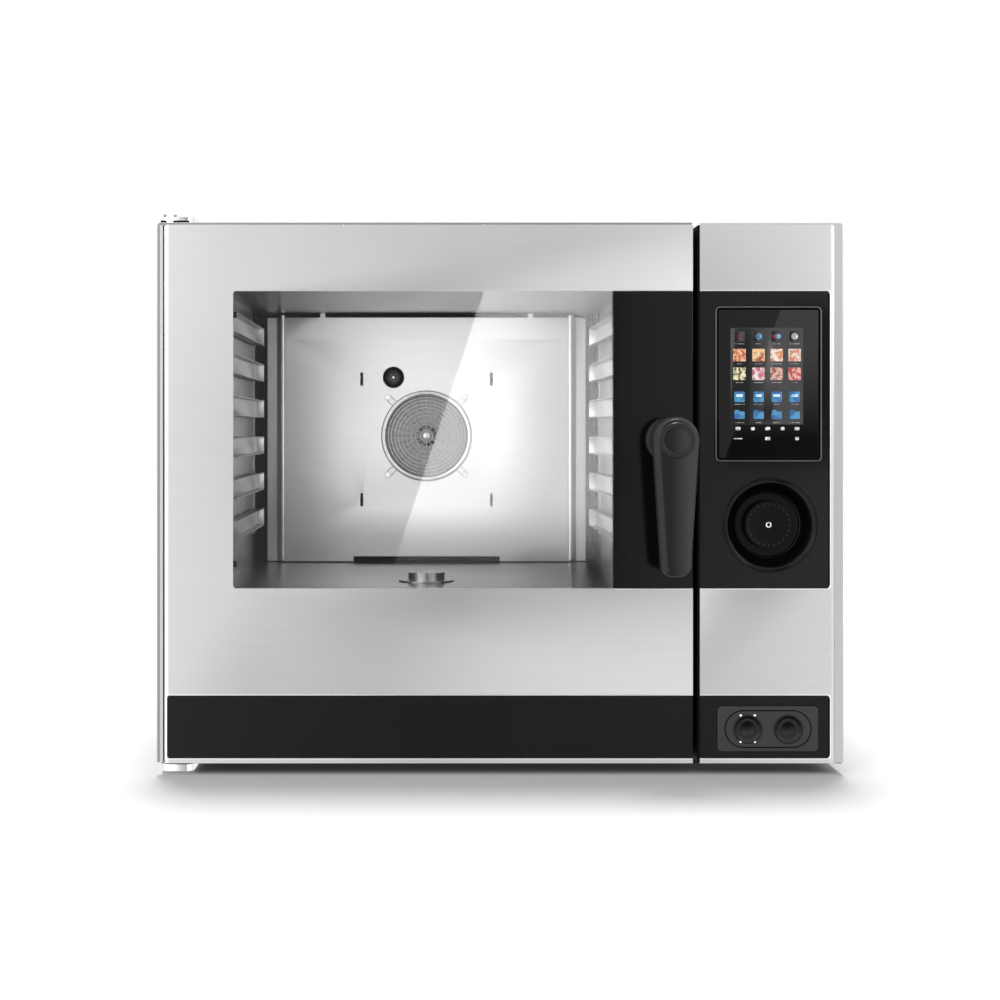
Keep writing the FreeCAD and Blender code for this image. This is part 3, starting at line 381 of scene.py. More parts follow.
# The base tray is near-black as painted shade under the oven.
dress(UNDERSIDE_SHADE, "base_tray")
dress(STEEL_TOP, "top_panel")
dress(STEEL_INNER, "cavity_liner", "drain_pipe", "vent_pipe", "vent_flap", "heating_element",
      "steam_pipe", "motor_shaft", "fan_wheel", "latch_strike", "latch_spindle", "encoder_shaft")
dress(STEEL_RACK, "rack_left", "rack_right", "drain_cover")
dress(WIRE, "suction_grille")
dress(STEEL_DEFLECTOR, "fan_deflector")
dress(CHROME, "hinge_brackets", "hinge_bushes", "screws", "rack_studs")
dress(NOZZLE, "wash_nozzle")
dress(BLACK, "handle_panel", "control_panel")
dress(STRIP, "door_lower_strip", "lower_panel")
dress(GLASS, "door_outer_glass")
dress(GLASS_INNER, "door_inner_glass")
dress(SCREEN, "touch_screen")
dress(GRIP_PAINTED_LIGHT, "handle_lever", "handle_cap")
dress(DARK, "screen_bezel", "encoder_body", "probe_socket", "data_port",
      "cooling_fan_frame", "cooling_fan_rotor", "cable_gland", "latch_housing")
dress(DISH, "knob_dish")
dress(KNOB, "knob")
dress(CONE_PAINTED_LIGHT, "probe_cap", "port_cap")
dress(SURROUND, "connector_surround")
dress(RUBBER, "door_gasket", "glass_clips", "feet")
dress(WHITE, "water_valves")
dress(PAINT, "fan_motor")
dress(WOOL, "insulation")
dress(BOARD, "control_board", "power_board")


# Shapes

RECORD = frame["record"]
BODY_OF = {node: body for body, nodes in RECORD["behaviour"]["bodies"].items() for node in nodes}
SLOT_OF = {part["node"]: part["material_slot"] for part in RECORD["subparts"]}


def at(x, depth, z):
    """Millimetres, with the depth counted from the door's outer face."""
    return Vector((x * MM, FRONT_Y + depth * MM, z * MM))


def size_of(node):
    """A node's lowest and highest corner in millimetres, with y as depth."""
    low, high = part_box(node)
    return ([low.x / MM, (low.y - FRONT_Y) / MM, low.z / MM],
            [high.x / MM, (high.y - FRONT_Y) / MM, high.z / MM])


def piece(name, like, material, shape, smooth=35):
    """A named object made from a bmesh; it moves with, and is finished as, a CAD node."""
    bmesh.ops.recalc_face_normals(shape, faces=shape.faces)
    mesh = bpy.data.meshes.new(name)
    shape.to_mesh(mesh)
    shape.free()
    mesh.polygons.foreach_set("use_smooth", [True] * len(mesh.polygons))
    mesh.set_sharp_from_angle(angle=math.radians(smooth))
    mesh.materials.append(material)
    made = bpy.data.objects.new(name, mesh)
    bpy.context.scene.collection.objects.link(made)
    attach(made, BODY_OF[like])
    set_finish(made, SLOT_OF[like])
    return made


def loft(shape, rings, closed=True):
    """Joins rings of equal length with four-sided faces."""
    rows = [[shape.verts.new(place) for place in ring] for ring in rings]
    for low, high in zip(rows, rows[1:]):
        for i in range(len(low) if closed else len(low) - 1):
            j = (i + 1) % len(low)
            shape.faces.new((low[i], low[j], high[j], high[i]))
    return rows


def fill(shape, rows):
    """Closes a flat face bounded by one outer row of corners and any inner ones."""
    edges = []
    for row in rows:
        for i, vert in enumerate(row):
            edges.append(shape.edges.get((vert, row[(i + 1) % len(row)])))
    bmesh.ops.triangle_fill(shape, edges=edges, use_beauty=True, use_dissolve=False)


def softened(node, width, material, segments=2):
    """The CAD node itself with its sharp edges rounded."""
    shape = bmesh.new()
    shape.from_mesh(NODES[node].data)
    bmesh.ops.remove_doubles(shape, verts=shape.verts, dist=0.01 * MM)
    bmesh.ops.dissolve_limit(shape, angle_limit=math.radians(1), verts=shape.verts,
                             edges=shape.edges)
    made = piece(node + "_soft", node, material, shape, 30)
    bevel = made.modifiers.new("edges", "BEVEL")
    bevel.width = width * MM
    bevel.segments = segments
    bevel.limit_method = "ANGLE"
    bevel.angle_limit = math.radians(40)
    bevel.harden_normals = True
    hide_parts(node)
    return made


CORNERS = ((-1, -1, 180), (1, -1, 270), (1, 1, 0), (-1, 1, 90))


def rounded(x0, x1, z0, z1, radii, steps=6):
    """A rectangle's outline as a function of how far it is drawn inwards."""
    if not isinstance(radii, tuple):
        radii = (radii,) * 4

    def outline(inset):
        places = []
        for (side, height, start), radius in zip(CORNERS, radii):
            bend = max(radius - inset, 0.05)
            x = (x1 if side > 0 else x0) - side * (inset + bend)
            z = (z1 if height > 0 else z0) - height * (inset + bend)
            for step in range(steps + 1):
                angle = math.radians(start + 90 * step / steps)
                places.append((x + bend * math.cos(angle), z + bend * math.sin(angle)))
        return places

    return outline


def inside(low, high, gaps, radii, steps=6):
    """A rounded outline inside a node's box by one gap, or by left, right, bottom and top ones."""
    if not isinstance(gaps, tuple):
        gaps = (gaps,) * 4
    left, right, bottom, top = gaps
    return rounded(low[0] + left, high[0] - right, low[2] + bottom, high[2] - top, radii, steps)


def circle(x, z, radius, steps=72):
    def outline(inset):
        return [(x + (radius - inset) * math.cos(2 * math.pi * i / steps),
                 z + (radius - inset) * math.sin(2 * math.pi * i / steps)) for i in range(steps)]

    return outline


def plate_into(shape, outline, front, back, edge, holes=()):
    """A plate across the depth with rounded front edges and rounded holes."""
    fronts, backs = [], []
    for border, sign in [(outline, 1)] + [(hole, -1) for hole in holes]:
        rings = []
        for turn in (90, 45, 0):
            angle = math.radians(turn)
            depth = front + edge * (1 - math.sin(angle))
            rings.append([at(x, depth, z) for x, z in border(sign * edge * (1 - math.cos(angle)))])
        rings.append([at(x, back, z) for x, z in border(0)])
        rows = loft(shape, rings)
        fronts.append(rows[0])
        backs.append(rows[-1])
    fill(shape, fronts)
    fill(shape, backs)


def plate(name, like, material, outline, front, back, edge=0.8, holes=()):
    shape = bmesh.new()
    plate_into(shape, outline, front, back, edge, holes)
    return piece(name, like, material, shape, 20)


def spin_into(shape, profile, x, z, steps=72):
    """Spins (radius, depth) pairs about a line along Y."""
    rings = []
    for radius, depth in profile:
        rings.append([at(px, depth, pz) for px, pz in circle(x, z, radius, steps)(0)])
    loft(shape, rings)
    bmesh.ops.remove_doubles(shape, verts=shape.verts, dist=1e-6)


def lathe(name, like, material, profile, x, z, steps=72, smooth=35):
    shape = bmesh.new()
    spin_into(shape, profile, x, z, steps)
    return piece(name, like, material, shape, smooth)


def upright_into(shape, profile, x, depth, steps=48):
    """Spins (radius, height) pairs about an upright line."""
    rings = []
    for radius, z in profile:
        rings.append([at(x + radius * math.cos(2 * math.pi * i / steps),
                         depth + radius * math.sin(2 * math.pi * i / steps), z) for i in range(steps)])
    loft(shape, rings)
    bmesh.ops.remove_doubles(shape, verts=shape.verts, dist=1e-6)


def hoop_into(shape, path, depth, radius, sides=8, closed=True):
    """A round wire that follows a path in the plane of the front."""
    rings = []
    count = len(path)
    for i, (x, z) in enumerate(path):
        before, after = path[i - 1], path[(i + 1) % count]
        if not closed:
            before, after = path[max(i - 1, 0)], path[min(i + 1, count - 1)]
        run = Vector((after[0] - before[0], after[1] - before[1])).normalized()
        ring = []
        for side in range(sides):
            angle = 2 * math.pi * side / sides
            out = radius * math.cos(angle)
            ring.append(at(x + run.y * out, depth + radius * math.sin(angle), z - run.x * out))
        rings.append(ring)
    rows = loft(shape, rings)
    if not closed:
        shape.faces.new(rows[0])
        shape.faces.new(rows[-1])
        return
    for i in range(sides):
        j = (i + 1) % sides
        shape.faces.new((rows[-1][i], rows[-1][j], rows[0][j], rows[0][i]))


def upright_line_into(shape, x, low, high, gap, depth, radius, sides=8):
    """A round line up the front at x, a gap short of both ends."""
    path = [(x, low + gap), (x, (low + high) / 2), (x, high - gap)]
    hoop_into(shape, path, depth, radius, sides, False)


def wire_into(shape, start, end, radius, sides=8):
    """A straight round wire between two places."""
    start, end = Vector(start), Vector(end)
    along = (end - start).normalized()
    across = along.orthogonal().normalized()
    other = along.cross(across)
    rings = []
    for place in (start, end):
        rings.append([place + (across * math.cos(2 * math.pi * i / sides)
                               + other * math.sin(2 * math.pi * i / sides)) * radius * MM
                      for i in range(sides)])
    rows = loft(shape, rings)
    shape.faces.new(rows[0])
    shape.faces.new(rows[-1])


def webs(name, like, material, corners, radius, front, back):
    """Steel that fills the square corners of a cut-out round a panel's rounded ones."""
    shape = bmesh.new()
    for x, z, side, height in corners:
        places = [(x, z)]
        for step in range(9):
            angle = math.radians(90 * step / 8)
            places.append((x - side * radius * (1 - math.cos(angle)),
                           z - height * radius * (1 - math.sin(angle))))
        rows = loft(shape, [[at(px, depth, pz) for px, pz in places] for depth in (front, back)])
        shape.faces.new(rows[0])
        shape.faces.new(rows[-1])
    return piece(name, like, material, shape, 30)


# Casing and panels. Gaps are counted inwards at the left, right, bottom and top of a node's box.

DOOR_LOW, DOOR_HIGH = size_of("door_skin")
COLUMN_LOW, COLUMN_HIGH = size_of("control_fascia")
BAND_LOW, BAND_HIGH = size_of("control_panel")
STRIP_LOW, STRIP_HIGH = size_of("lower_panel")
DOOR_STRIP_LOW, DOOR_STRIP_HIGH = size_of("door_lower_strip")
GRIP_LOW, GRIP_HIGH = size_of("handle_panel")
PANE_LOW, PANE_HIGH = size_of("door_outer_glass")
SCREEN_LOW, SCREEN_HIGH = size_of("screen_bezel")
CONNECTOR_LOW, CONNECTOR_HIGH = size_of("connector_surround")
HINGE_FRONT = size_of("hinge_brackets")[0][1]
COLUMN_PANELS = ((BAND_LOW, BAND_HIGH), (STRIP_LOW, STRIP_HIGH))
PANEL_DEPTH = 4.0
PANEL_CORNER = 4.5
WINDOW_CORNER = 3.5
SMALL_CORNER = 0.6
SEAM = 0.35
BEAD_FRONT = 0.4
BEAD_CORNER = 5.0
DOOR_BEAD = (-4.3, 0.5, 1.0, -3.2)
DOOR_BEAD_HOLE = (1.5, 1.5, 3.0, 1.5)
DOOR_BEAD_BACK = 4.6
COLUMN_BEAD = (1.6, -0.8, 1.0, -3.0)
COLUMN_BEAD_HOLE = (2.6, 2.5, 3.0, 1.5)
COLUMN_BEAD_BACK = 9.0
SHADE_BACK = 54.0
LIP_RADIUS = 0.9
LIP_DEPTH = 0.35
EDGE_FLAT_OFFSET = 6.5
SHADOW_LINE_INSET = 1.1
HINGE_GAPS = ((-438.4, -431.2), (-422.2, -401.0))
HINGE_GAP_RISE = (708.3, 711.8)
HINGE_HEADS = ((-432.9, 718.2), (-419.7, 718.0), (-405.2, 714.6))
DISH_HOLE = 54.5
SPINDLE_HOLE = 9.0
FRAME_CORNER = 6.0


def middle_of(node):
    low, high = size_of(node)
    return [(a + b) / 2 for a, b in zip(low, high)]


KNOB_X, _, KNOB_Z = middle_of("knob_dish")
HANDLE_X, _, HANDLE_Z = middle_of("handle_cap")
FAN_X, _, FAN_Z = middle_of("suction_grille")


def casing():
    softened("door_skin", 0.9, STEEL, 3)
    softened("control_fascia", 0.9, STEEL, 3)
    softened("hinge_brackets", 1.0, CHROME, 3)
    softened("hinge_bushes", 0.4, CHROME)
    softened("front_frame", 0.4, STEEL)
    softened("side_panel_left", 0.4, STEEL_SIDE)
    softened("side_panel_right", 0.4, STEEL_SIDE)
    softened("top_panel", 0.4, STEEL_TOP)
    webs("fascia_corner_webs", "control_fascia", STEEL,
         [(BAND_HIGH[0], BAND_HIGH[2], 1, 1), (BAND_HIGH[0], BAND_LOW[2], 1, -1),
          (STRIP_HIGH[0], STRIP_HIGH[2], 1, 1), (STRIP_HIGH[0], STRIP_LOW[2], 1, -1)],
         PANEL_CORNER, 0.2, PANEL_DEPTH)
    webs("door_corner_webs", "door_skin", STEEL,
         [(DOOR_STRIP_LOW[0], DOOR_STRIP_HIGH[2], -1, 1), (DOOR_STRIP_LOW[0], DOOR_STRIP_LOW[2], -1, -1),
          (PANE_LOW[0], PANE_HIGH[2], -1, 1), (PANE_LOW[0], PANE_LOW[2], -1, -1)],
         WINDOW_CORNER, 0.2, PANEL_DEPTH - 0.5)


def edge_beads():
    """The rolled edges of the door and of the column, in darker copies of the steel as painted shade
    where the edges turn away.
    """
    small = SMALL_CORNER
    plate("door_edge_bead", "door_skin", STEEL_EDGE_SHADE_DARK,
          inside(DOOR_LOW, DOOR_HIGH, DOOR_BEAD, (small, small, small, BEAD_CORNER)),
          BEAD_FRONT, DOOR_BEAD_BACK, 1.0, [inside(DOOR_LOW, DOOR_HIGH, DOOR_BEAD_HOLE, 3.0)])
    plate("door_edge_fold", "door_skin", STEEL_EDGE_SHADE_PALE,
          rounded(DOOR_LOW[0] + 0.1, DOOR_LOW[0] + 3.6, DOOR_LOW[2] + 1.0, DOOR_HIGH[2] - 0.6, small),
          -0.2, 1.5, 0.2)
    plate("column_edge_bead", "control_fascia", STEEL_EDGE_SHADE_PALE,
          inside(COLUMN_LOW, COLUMN_HIGH, COLUMN_BEAD, (small, small, BEAD_CORNER, small)),
          BEAD_FRONT, COLUMN_BEAD_BACK, 1.0, [inside(COLUMN_LOW, COLUMN_HIGH, COLUMN_BEAD_HOLE, 3.0)])


def edge_shades():
    """Painted shade: near-black faces on the door's right flank, and on the undersides of the door and
    the column.
    """
    plate("door_side_trim", "door_skin", GAP_SHADE,
          rounded(DOOR_HIGH[0] - 0.2, DOOR_HIGH[0] + 0.6, DOOR_LOW[2] + 1.0, DOOR_HIGH[2] - 1.0, 0.3),
          1.4, SHADE_BACK, 0.2)
    for name, like, low, high in (("door_underside_trim", "door_skin", DOOR_LOW, DOOR_HIGH),
                                  ("column_underside_trim", "control_fascia", COLUMN_LOW, COLUMN_HIGH)):
        plate(name, like, UNDERSIDE_SHADE,
              rounded(low[0] + 1.0, high[0] - 1.0, low[2] - 0.6, low[2] + 0.2, 0.3), 2.0, SHADE_BACK, 0.2)


def lip_path(low, high):
    """Along the bottom of a column panel, up its right side and back along its top."""
    bottom, right, top = low[2] - LIP_RADIUS, high[0] + LIP_RADIUS, high[2] + LIP_RADIUS
    start, middle = low[0] + 2.0, (low[0] + high[0]) / 2
    path = [(start, bottom), (middle, bottom)]
    for z, bend, turn in ((bottom, PANEL_CORNER, -90), (top, -PANEL_CORNER, 0)):
        for step in range(7):
            angle = math.radians(turn + 15 * step)
            path.append((right - PANEL_CORNER + PANEL_CORNER * math.cos(angle),
                         z + bend + PANEL_CORNER * math.sin(angle)))
    return path + [(middle, top), (start, top)]


def panel_lips():
    """Painted highlight: lighter steel lips round the dark panels. Painted shade: the column's flat
    right edge in a darker steel, and dark shadow lines.
    """
    shape = bmesh.new()
    for low, high in COLUMN_PANELS:
        hoop_into(shape, lip_path(low, high), LIP_DEPTH, LIP_RADIUS, 8, False)
    piece("column_panel_lips", "control_fascia", STEEL_LIP_HIGHLIGHT, shape, 60)
    shape = bmesh.new()
    for low, high in ((GRIP_LOW, GRIP_HIGH), (DOOR_STRIP_LOW, DOOR_STRIP_HIGH)):
        for z in (low[2] - LIP_RADIUS, high[2] + LIP_RADIUS):
            path = [(low[0] + 1.0, z), ((low[0] + high[0]) / 2, z), (high[0] - 1.5, z)]
            hoop_into(shape, path, LIP_DEPTH, LIP_RADIUS, 8, False)
    piece("door_panel_lips", "door_skin", STEEL_LIP_HIGHLIGHT, shape, 60)
    plate("column_edge_flat", "control_fascia", STEEL_EDGE_SHADE_PALE,
          rounded(BAND_HIGH[0] + EDGE_FLAT_OFFSET, COLUMN_HIGH[0] - 0.8, COLUMN_LOW[2] + 0.8,
                  COLUMN_HIGH[2] - 0.8, SMALL_CORNER), -0.15, 1.5, 0.2)
    shape = bmesh.new()
    for low, high in COLUMN_PANELS:
        upright_line_into(shape, high[0] - SHADOW_LINE_INSET, low[2], high[2], 4.0, 0.1, 0.9)
    piece("column_panel_shadow_lines", "control_fascia", GAP_SHADE, shape, 60)


def hinge_marks():
    """Painted shadow: near-black lines in the gap under the upper bracket, and its small screw heads in
    a darker copy of the steel as painted shade.
    """
    bottom, top = HINGE_GAP_RISE
    shape = bmesh.new()
    for left, right in HINGE_GAPS:
        plate_into(shape, rounded(left, right, bottom, top, 0.8, 3), HINGE_FRONT - 0.3,
                   HINGE_FRONT + 1.0, 0.3)
    piece("hinge_gap_lines", "hinge_brackets", GAP_SHADE, shape, 30)
    head = [(2.0, HINGE_FRONT + 0.5), (2.0, HINGE_FRONT - 0.4), (1.4, HINGE_FRONT - 0.9),
            (0.0, HINGE_FRONT - 1.1)]
    # Screw heads in the darker steel copy: painted shade.
    shape = bmesh.new()
    for x, z in HINGE_HEADS:
        spin_into(shape, head, x, z, 20)
    piece("hinge_screw_heads", "hinge_brackets", STEEL_EDGE_SHADE_DARK, shape, 50)


def panel(node, material, low, high, gaps, radii, holes=()):
    """A front panel with rounded corners, in the place of its CAD node."""
    made = plate(node + "_rounded", node, material, inside(low, high, gaps, radii), 0, PANEL_DEPTH,
                 0.7, holes)
    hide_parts(node)


def panels():
    # Painted shade: a near-black sheet on the column's left side, in the shaded gap beside the door.
    plate("column_side_trim", "control_fascia", GAP_SHADE,
          rounded(BAND_LOW[0] - 2.0, BAND_LOW[0] + 1.2, STRIP_LOW[2] - 6.0, COLUMN_HIGH[2] - 0.6,
                  SMALL_CORNER), -0.5, 57.0, 0.5)
    right_round = (0.5, PANEL_CORNER, PANEL_CORNER, 0.5)
    panel("control_panel", BLACK, BAND_LOW, BAND_HIGH, SEAM, right_round,
          [circle(KNOB_X, KNOB_Z, DISH_HOLE), inside(SCREEN_LOW, SCREEN_HIGH, 0.5, FRAME_CORNER)])
    panel("lower_panel", STRIP, STRIP_LOW, STRIP_HIGH, SEAM, right_round,
          [inside(CONNECTOR_LOW, CONNECTOR_HIGH, 0.0, FRAME_CORNER)])
    panel("door_lower_strip", STRIP, DOOR_STRIP_LOW, DOOR_STRIP_HIGH, SEAM,
          (WINDOW_CORNER, 0.5, 0.5, WINDOW_CORNER))
    panel("handle_panel", BLACK, GRIP_LOW, GRIP_HIGH, (0.0, SEAM, SEAM, SEAM), (0.3, 0.5, 0.5, 0.3),
          [circle(HANDLE_X, HANDLE_Z, SPINDLE_HOLE)])


# Touch screen

BEZEL_GAP = 0.9
GROOVE = 4.0
GROOVE_PROFILE = ((0.0, 3.5), (0.0, 0.6), (0.5, 0.0), (1.2, 0.2), (1.9, 1.6), (GROOVE, 1.9),
                  (GROOVE + 0.1, 3.5))
GLASS_BACK = 12.0
TILE_COLUMNS = (304.9, 329.3, 352.5, 375.5)
TILE_ROWS = (562.0, 538.0, 514.0, 484.5, 461.0)
TILE_FRONT = -0.12
MARK_FRONT = -0.20
DARK_TILE = 13.5
FOOD_TILE = 16.0
BLUE_TILE = 13.4
FOLDER_HEIGHT = 9.6
DOT_PLACES = {
    "red": ((TILE_COLUMNS[0], 3.4), (TILE_COLUMNS[2] - 2.6, 3.0)),
    "blue": ((TILE_COLUMNS[1], 4.2), (TILE_COLUMNS[2] + 2.4, 3.2)),
    "white": ((TILE_COLUMNS[3], 4.2),),
}
LABEL_WIDTHS = (12.5, 7.0, 9.5, 13.5)
LABEL_DROP = 9.6
FOOD_LABEL_DROP = 11.2
UPPER_MARKS = (443.8, ((303.0, 6.4), (322.0, 4.8), (341.0, 6.4), (360.0, 4.8), (378.5, 6.4)))
LOWER_MARKS = (431.0, ((303.0, 11.0, 1.4), (341.0, 6.4, 4.0), (378.5, 4.8, 4.0)))


def tile_into(shape, x, z, width, height, corner=1.2, front=TILE_FRONT):
    outline = rounded(x - width / 2, x + width / 2, z - height / 2, z + height / 2, corner, 3)
    plate_into(shape, outline, front, 0.4, 0.1)


def screen_frame():
    """The groove in near-black as painted shade, and its edge in lighter plastic as a painted highlight,
    with the touch glass inside them.
    """
    outer = inside(SCREEN_LOW, SCREEN_HIGH, BEZEL_GAP, FRAME_CORNER)
    shape = bmesh.new()
    loft(shape, [[at(x, depth, z) for x, z in outer(inset)] for inset, depth in GROOVE_PROFILE])
    bezel = piece("bezel_groove", "screen_bezel", GAP_SHADE, shape, 25)
    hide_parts("screen_bezel")
    shape = bmesh.new()
    # Painted highlight round the bezel's rim.
    hoop_into(shape, outer(0.6), -0.25, 0.75)
    piece("bezel_bright_edge", "screen_bezel", BEZEL_RIM_HIGHLIGHT, shape)
    made = plate("touch_glass", "touch_screen", SCREEN,
                 inside(SCREEN_LOW, SCREEN_HIGH, BEZEL_GAP + GROOVE, 3.0), 0, GLASS_BACK, 0.5)
    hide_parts("touch_screen")


def display_tiles():
    """A generic display: dots on dark tiles, two rows of food pictures, two rows of blue tiles."""
    shape = bmesh.new()
    tile_into(shape, 339.9, 511.0, 93.0, 124.0, 1.0, -0.03)
    piece("display_ground", "touch_screen", GROUND, shape)
    shape = bmesh.new()
    for x in TILE_COLUMNS:
        tile_into(shape, x, TILE_ROWS[0], DARK_TILE, DARK_TILE)
    piece("dark_tiles", "touch_screen", TILE_DARK, shape)
    for colour, dots in DOT_PLACES.items():
        shape = bmesh.new()
        for x, radius in dots:
            plate_into(shape, circle(x, TILE_ROWS[0], radius, 24), MARK_FRONT, 0.3, 0.1)
        piece(colour + "_dots", "touch_screen", DOT[colour], shape)
    for row, z in enumerate(TILE_ROWS[1:3]):
        for column, x in enumerate(TILE_COLUMNS):
            shape = bmesh.new()
            tile_into(shape, x, z, FOOD_TILE, FOOD_TILE, 0.8)
            piece(f"food_tile_{row}_{column}", "touch_screen", FOOD[row][column], shape)
    shape = bmesh.new()
    for x in TILE_COLUMNS:
        tile_into(shape, x, TILE_ROWS[3], BLUE_TILE, BLUE_TILE, 1.6)
    for x in TILE_COLUMNS:
        tile_into(shape, x, TILE_ROWS[4], BLUE_TILE, FOLDER_HEIGHT, 1.6)
        tile_into(shape, x - 3.4, TILE_ROWS[4] + 5.2, 5.6, 3.0, 0.8)
    piece("blue_tiles", "touch_screen", TILE_BLUE, shape)


def display_marks():
    """Small marks on and under the tiles: plain shapes, no lettering."""
    shape = bmesh.new()
    for x in TILE_COLUMNS:
        tile_into(shape, x, TILE_ROWS[3] + 1.6, 8.6, 3.4, 0.5, MARK_FRONT)
    piece("blue_tile_windows", "touch_screen", MARK_PALE, shape)
    shape = bmesh.new()
    for row, z in enumerate(TILE_ROWS):
        drop = FOOD_LABEL_DROP if row in (1, 2) else LABEL_DROP
        for column, x in enumerate(TILE_COLUMNS):
            width = LABEL_WIDTHS[(row + column) % len(LABEL_WIDTHS)]
            tile_into(shape, x, z - drop, width, 0.9, 0.3)
    piece("label_dashes", "touch_screen", LABEL, shape)
    shape = bmesh.new()
    z, marks = UPPER_MARKS
    for x, width in marks:
        tile_into(shape, x, z, width, 4.2, 1.4)
    z, marks = LOWER_MARKS
    for x, width, height in marks:
        tile_into(shape, x, z, width, height, 0.6)
    piece("bottom_marks", "touch_screen", MARK, shape)


# Knob and connector box

DISH_PROFILE = [(61.0, 0.2), (61.0, -0.9), (60.4, -1.4), (59.2, -1.4), (58.4, -0.7), (56.5, 0.0),
                (54.0, 2.5), (50.0, 9.5), (46.5, 16.5), (43.6, 19.6), (42.4, 20.0), (41.6, 19.4),
                (40.8, 20.0), (4.2, 20.0)]
# Radius, depth and the depth of the ribs
KNOB_PROFILE = [(31.0, 18.0, 0.5), (31.0, 9.2, 0.5), (30.8, 8.0, 0.2), (30.1, 7.2, 0.0),
                (29.0, 7.0, 0.0), (28.2, 7.4, 0.0), (20.0, 8.0, 0.0), (8.0, 8.2, 0.0), (0.0, 8.2, 0.0)]
KNOB_STEPS = 240
RIBS = 40
TICKS = 24
TICK_START = (25.2, 7.62)
TICK_END = (27.6, 7.42)
CAP_HOLE = 15.0
CAP_PROFILE = [(14.2, 12.0), (14.2, -0.4), (17.6, -0.4), (18.3, -1.2), (18.3, -2.0), (17.9, -2.4),
               (17.2, -2.5), (16.8, -2.3), (14.9, -0.9), (7.0, 3.4), (0.0, 7.2)]
PIN_PROFILE = [(1.9, -0.7), (1.9, -1.2), (1.3, -2.0), (0.6, -2.3), (0.0, -2.35)]
STADIUM_HALF = (55.0, 23.5)


def from_knob(radius, depth, angle):
    """A place round the knob's middle."""
    return at(KNOB_X + radius * math.cos(angle), depth, KNOB_Z + radius * math.sin(angle))


def knob():
    made = lathe("dish_spun", "knob_dish", DISH, DISH_PROFILE, KNOB_X, KNOB_Z, 96)
    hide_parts("knob_dish")
    shape = bmesh.new()
    # Painted highlight: a lighter ring on the dish's rim.
    hoop_into(shape, circle(KNOB_X, KNOB_Z, 60.2, 96)(0), -0.95, 0.45)
    piece("dish_bright_edge", "knob_dish", DISH_RIM_HIGHLIGHT, shape)

    shape = bmesh.new()
    rings = []
    for radius, depth, rib in KNOB_PROFILE:
        ring = []
        for i in range(KNOB_STEPS):
            angle = 2 * math.pi * i / KNOB_STEPS
            groove = rib * (0.5 + 0.5 * math.cos(RIBS * angle)) * 1.4
            ring.append(from_knob(radius - groove, depth, angle))
        rings.append(ring)
    loft(shape, rings)
    bmesh.ops.remove_doubles(shape, verts=shape.verts, dist=1e-6)
    made = piece("knob_ribbed", "knob", KNOB, shape, 50)
    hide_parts("knob")
    shape = bmesh.new()
    for i in range(TICKS):
        angle = 2 * math.pi * i / TICKS
        wire_into(shape, from_knob(*TICK_START, angle), from_knob(*TICK_END, angle), 0.28, 6)
    piece("knob_ticks", "knob", TICK, shape)
    shape = bmesh.new()
    hoop_into(shape, circle(KNOB_X, KNOB_Z, 2.9, 32)(0), 8.15, 0.75)
    piece("knob_centre_ring", "knob", MARK, shape)


def connector():
    middle_x, _, middle_z = middle_of("connector_surround")
    half_width, half_height = STADIUM_HALF
    caps = [middle_of(node) for node in ("probe_cap", "port_cap")]
    made = plate("surround_rounded", "connector_surround", SURROUND,
                 inside(CONNECTOR_LOW, CONNECTOR_HIGH, 0.3, FRAME_CORNER), -0.8, 15.0, 1.6,
                 [circle(x, z, CAP_HOLE, 48) for x, _, z in caps])
    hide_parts("connector_surround")
    shape = bmesh.new()
    stadium = rounded(middle_x - half_width, middle_x + half_width, middle_z - half_height,
                      middle_z + half_height, 23.4, 14)
    # Near-black groove round the connector: painted shade.
    hoop_into(shape, stadium(0), -0.75, 0.75, 6)
    piece("stadium_groove", "connector_surround", GAP_SHADE, shape)
    for node, (x, _, z) in zip(("probe_cap", "port_cap"), caps):
        made = lathe(node + "_spun", node, CONE_PAINTED_LIGHT, CAP_PROFILE, x, z, 64, 50)
        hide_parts(node)
    shape = bmesh.new()
    x, _, z = caps[0]
    for side in (-1, 1):
        for height in (-1, 1):
            spin_into(shape, PIN_PROFILE, x + side * 9.0, z + height * 16.8 + 0.6, 16)
    piece("surround_pins", "connector_surround", CHROME_BRIGHT, shape, 60)


# Handle

LEVER_LOW, LEVER_HIGH = size_of("handle_lever")
LEVER_FRONT = LEVER_LOW[1]
HEAD_RADIUS = LEVER_HIGH[2] - HANDLE_Z
TIP_HALF = 19.2
TIP_Z = LEVER_LOW[2] + TIP_HALF
CROWN = 2.2
# How far each ring is drawn in, its depth behind the lever's front, and its crown
LEVER_LEVELS = ((0.35, 22.0, 0), (0.06, 20.6, 0), (0.0, 18.0, 0), (0.0, 9.0, 0), (0.10, 5.6, 0.4),
                (0.75, 1.1, 1.6), (0.88, 0.4, 2.0), (1.0, 0.0, CROWN))


def face_drop(x, spine, crown):
    """How far the lever's face falls back at x, most at its right side."""
    half = HEAD_RADIUS + (TIP_HALF - HEAD_RADIUS) * (HANDLE_Z - spine) / (HANDLE_Z - TIP_Z)
    return crown * max(0.0, x / half + 0.15) ** 2


def between(first, last, steps):
    """The places that share out a straight line, without its ends."""
    shares = [i / steps for i in range(1, steps)]
    return [tuple(a + (b - a) * share for a, b in zip(first, last)) for share in shares]


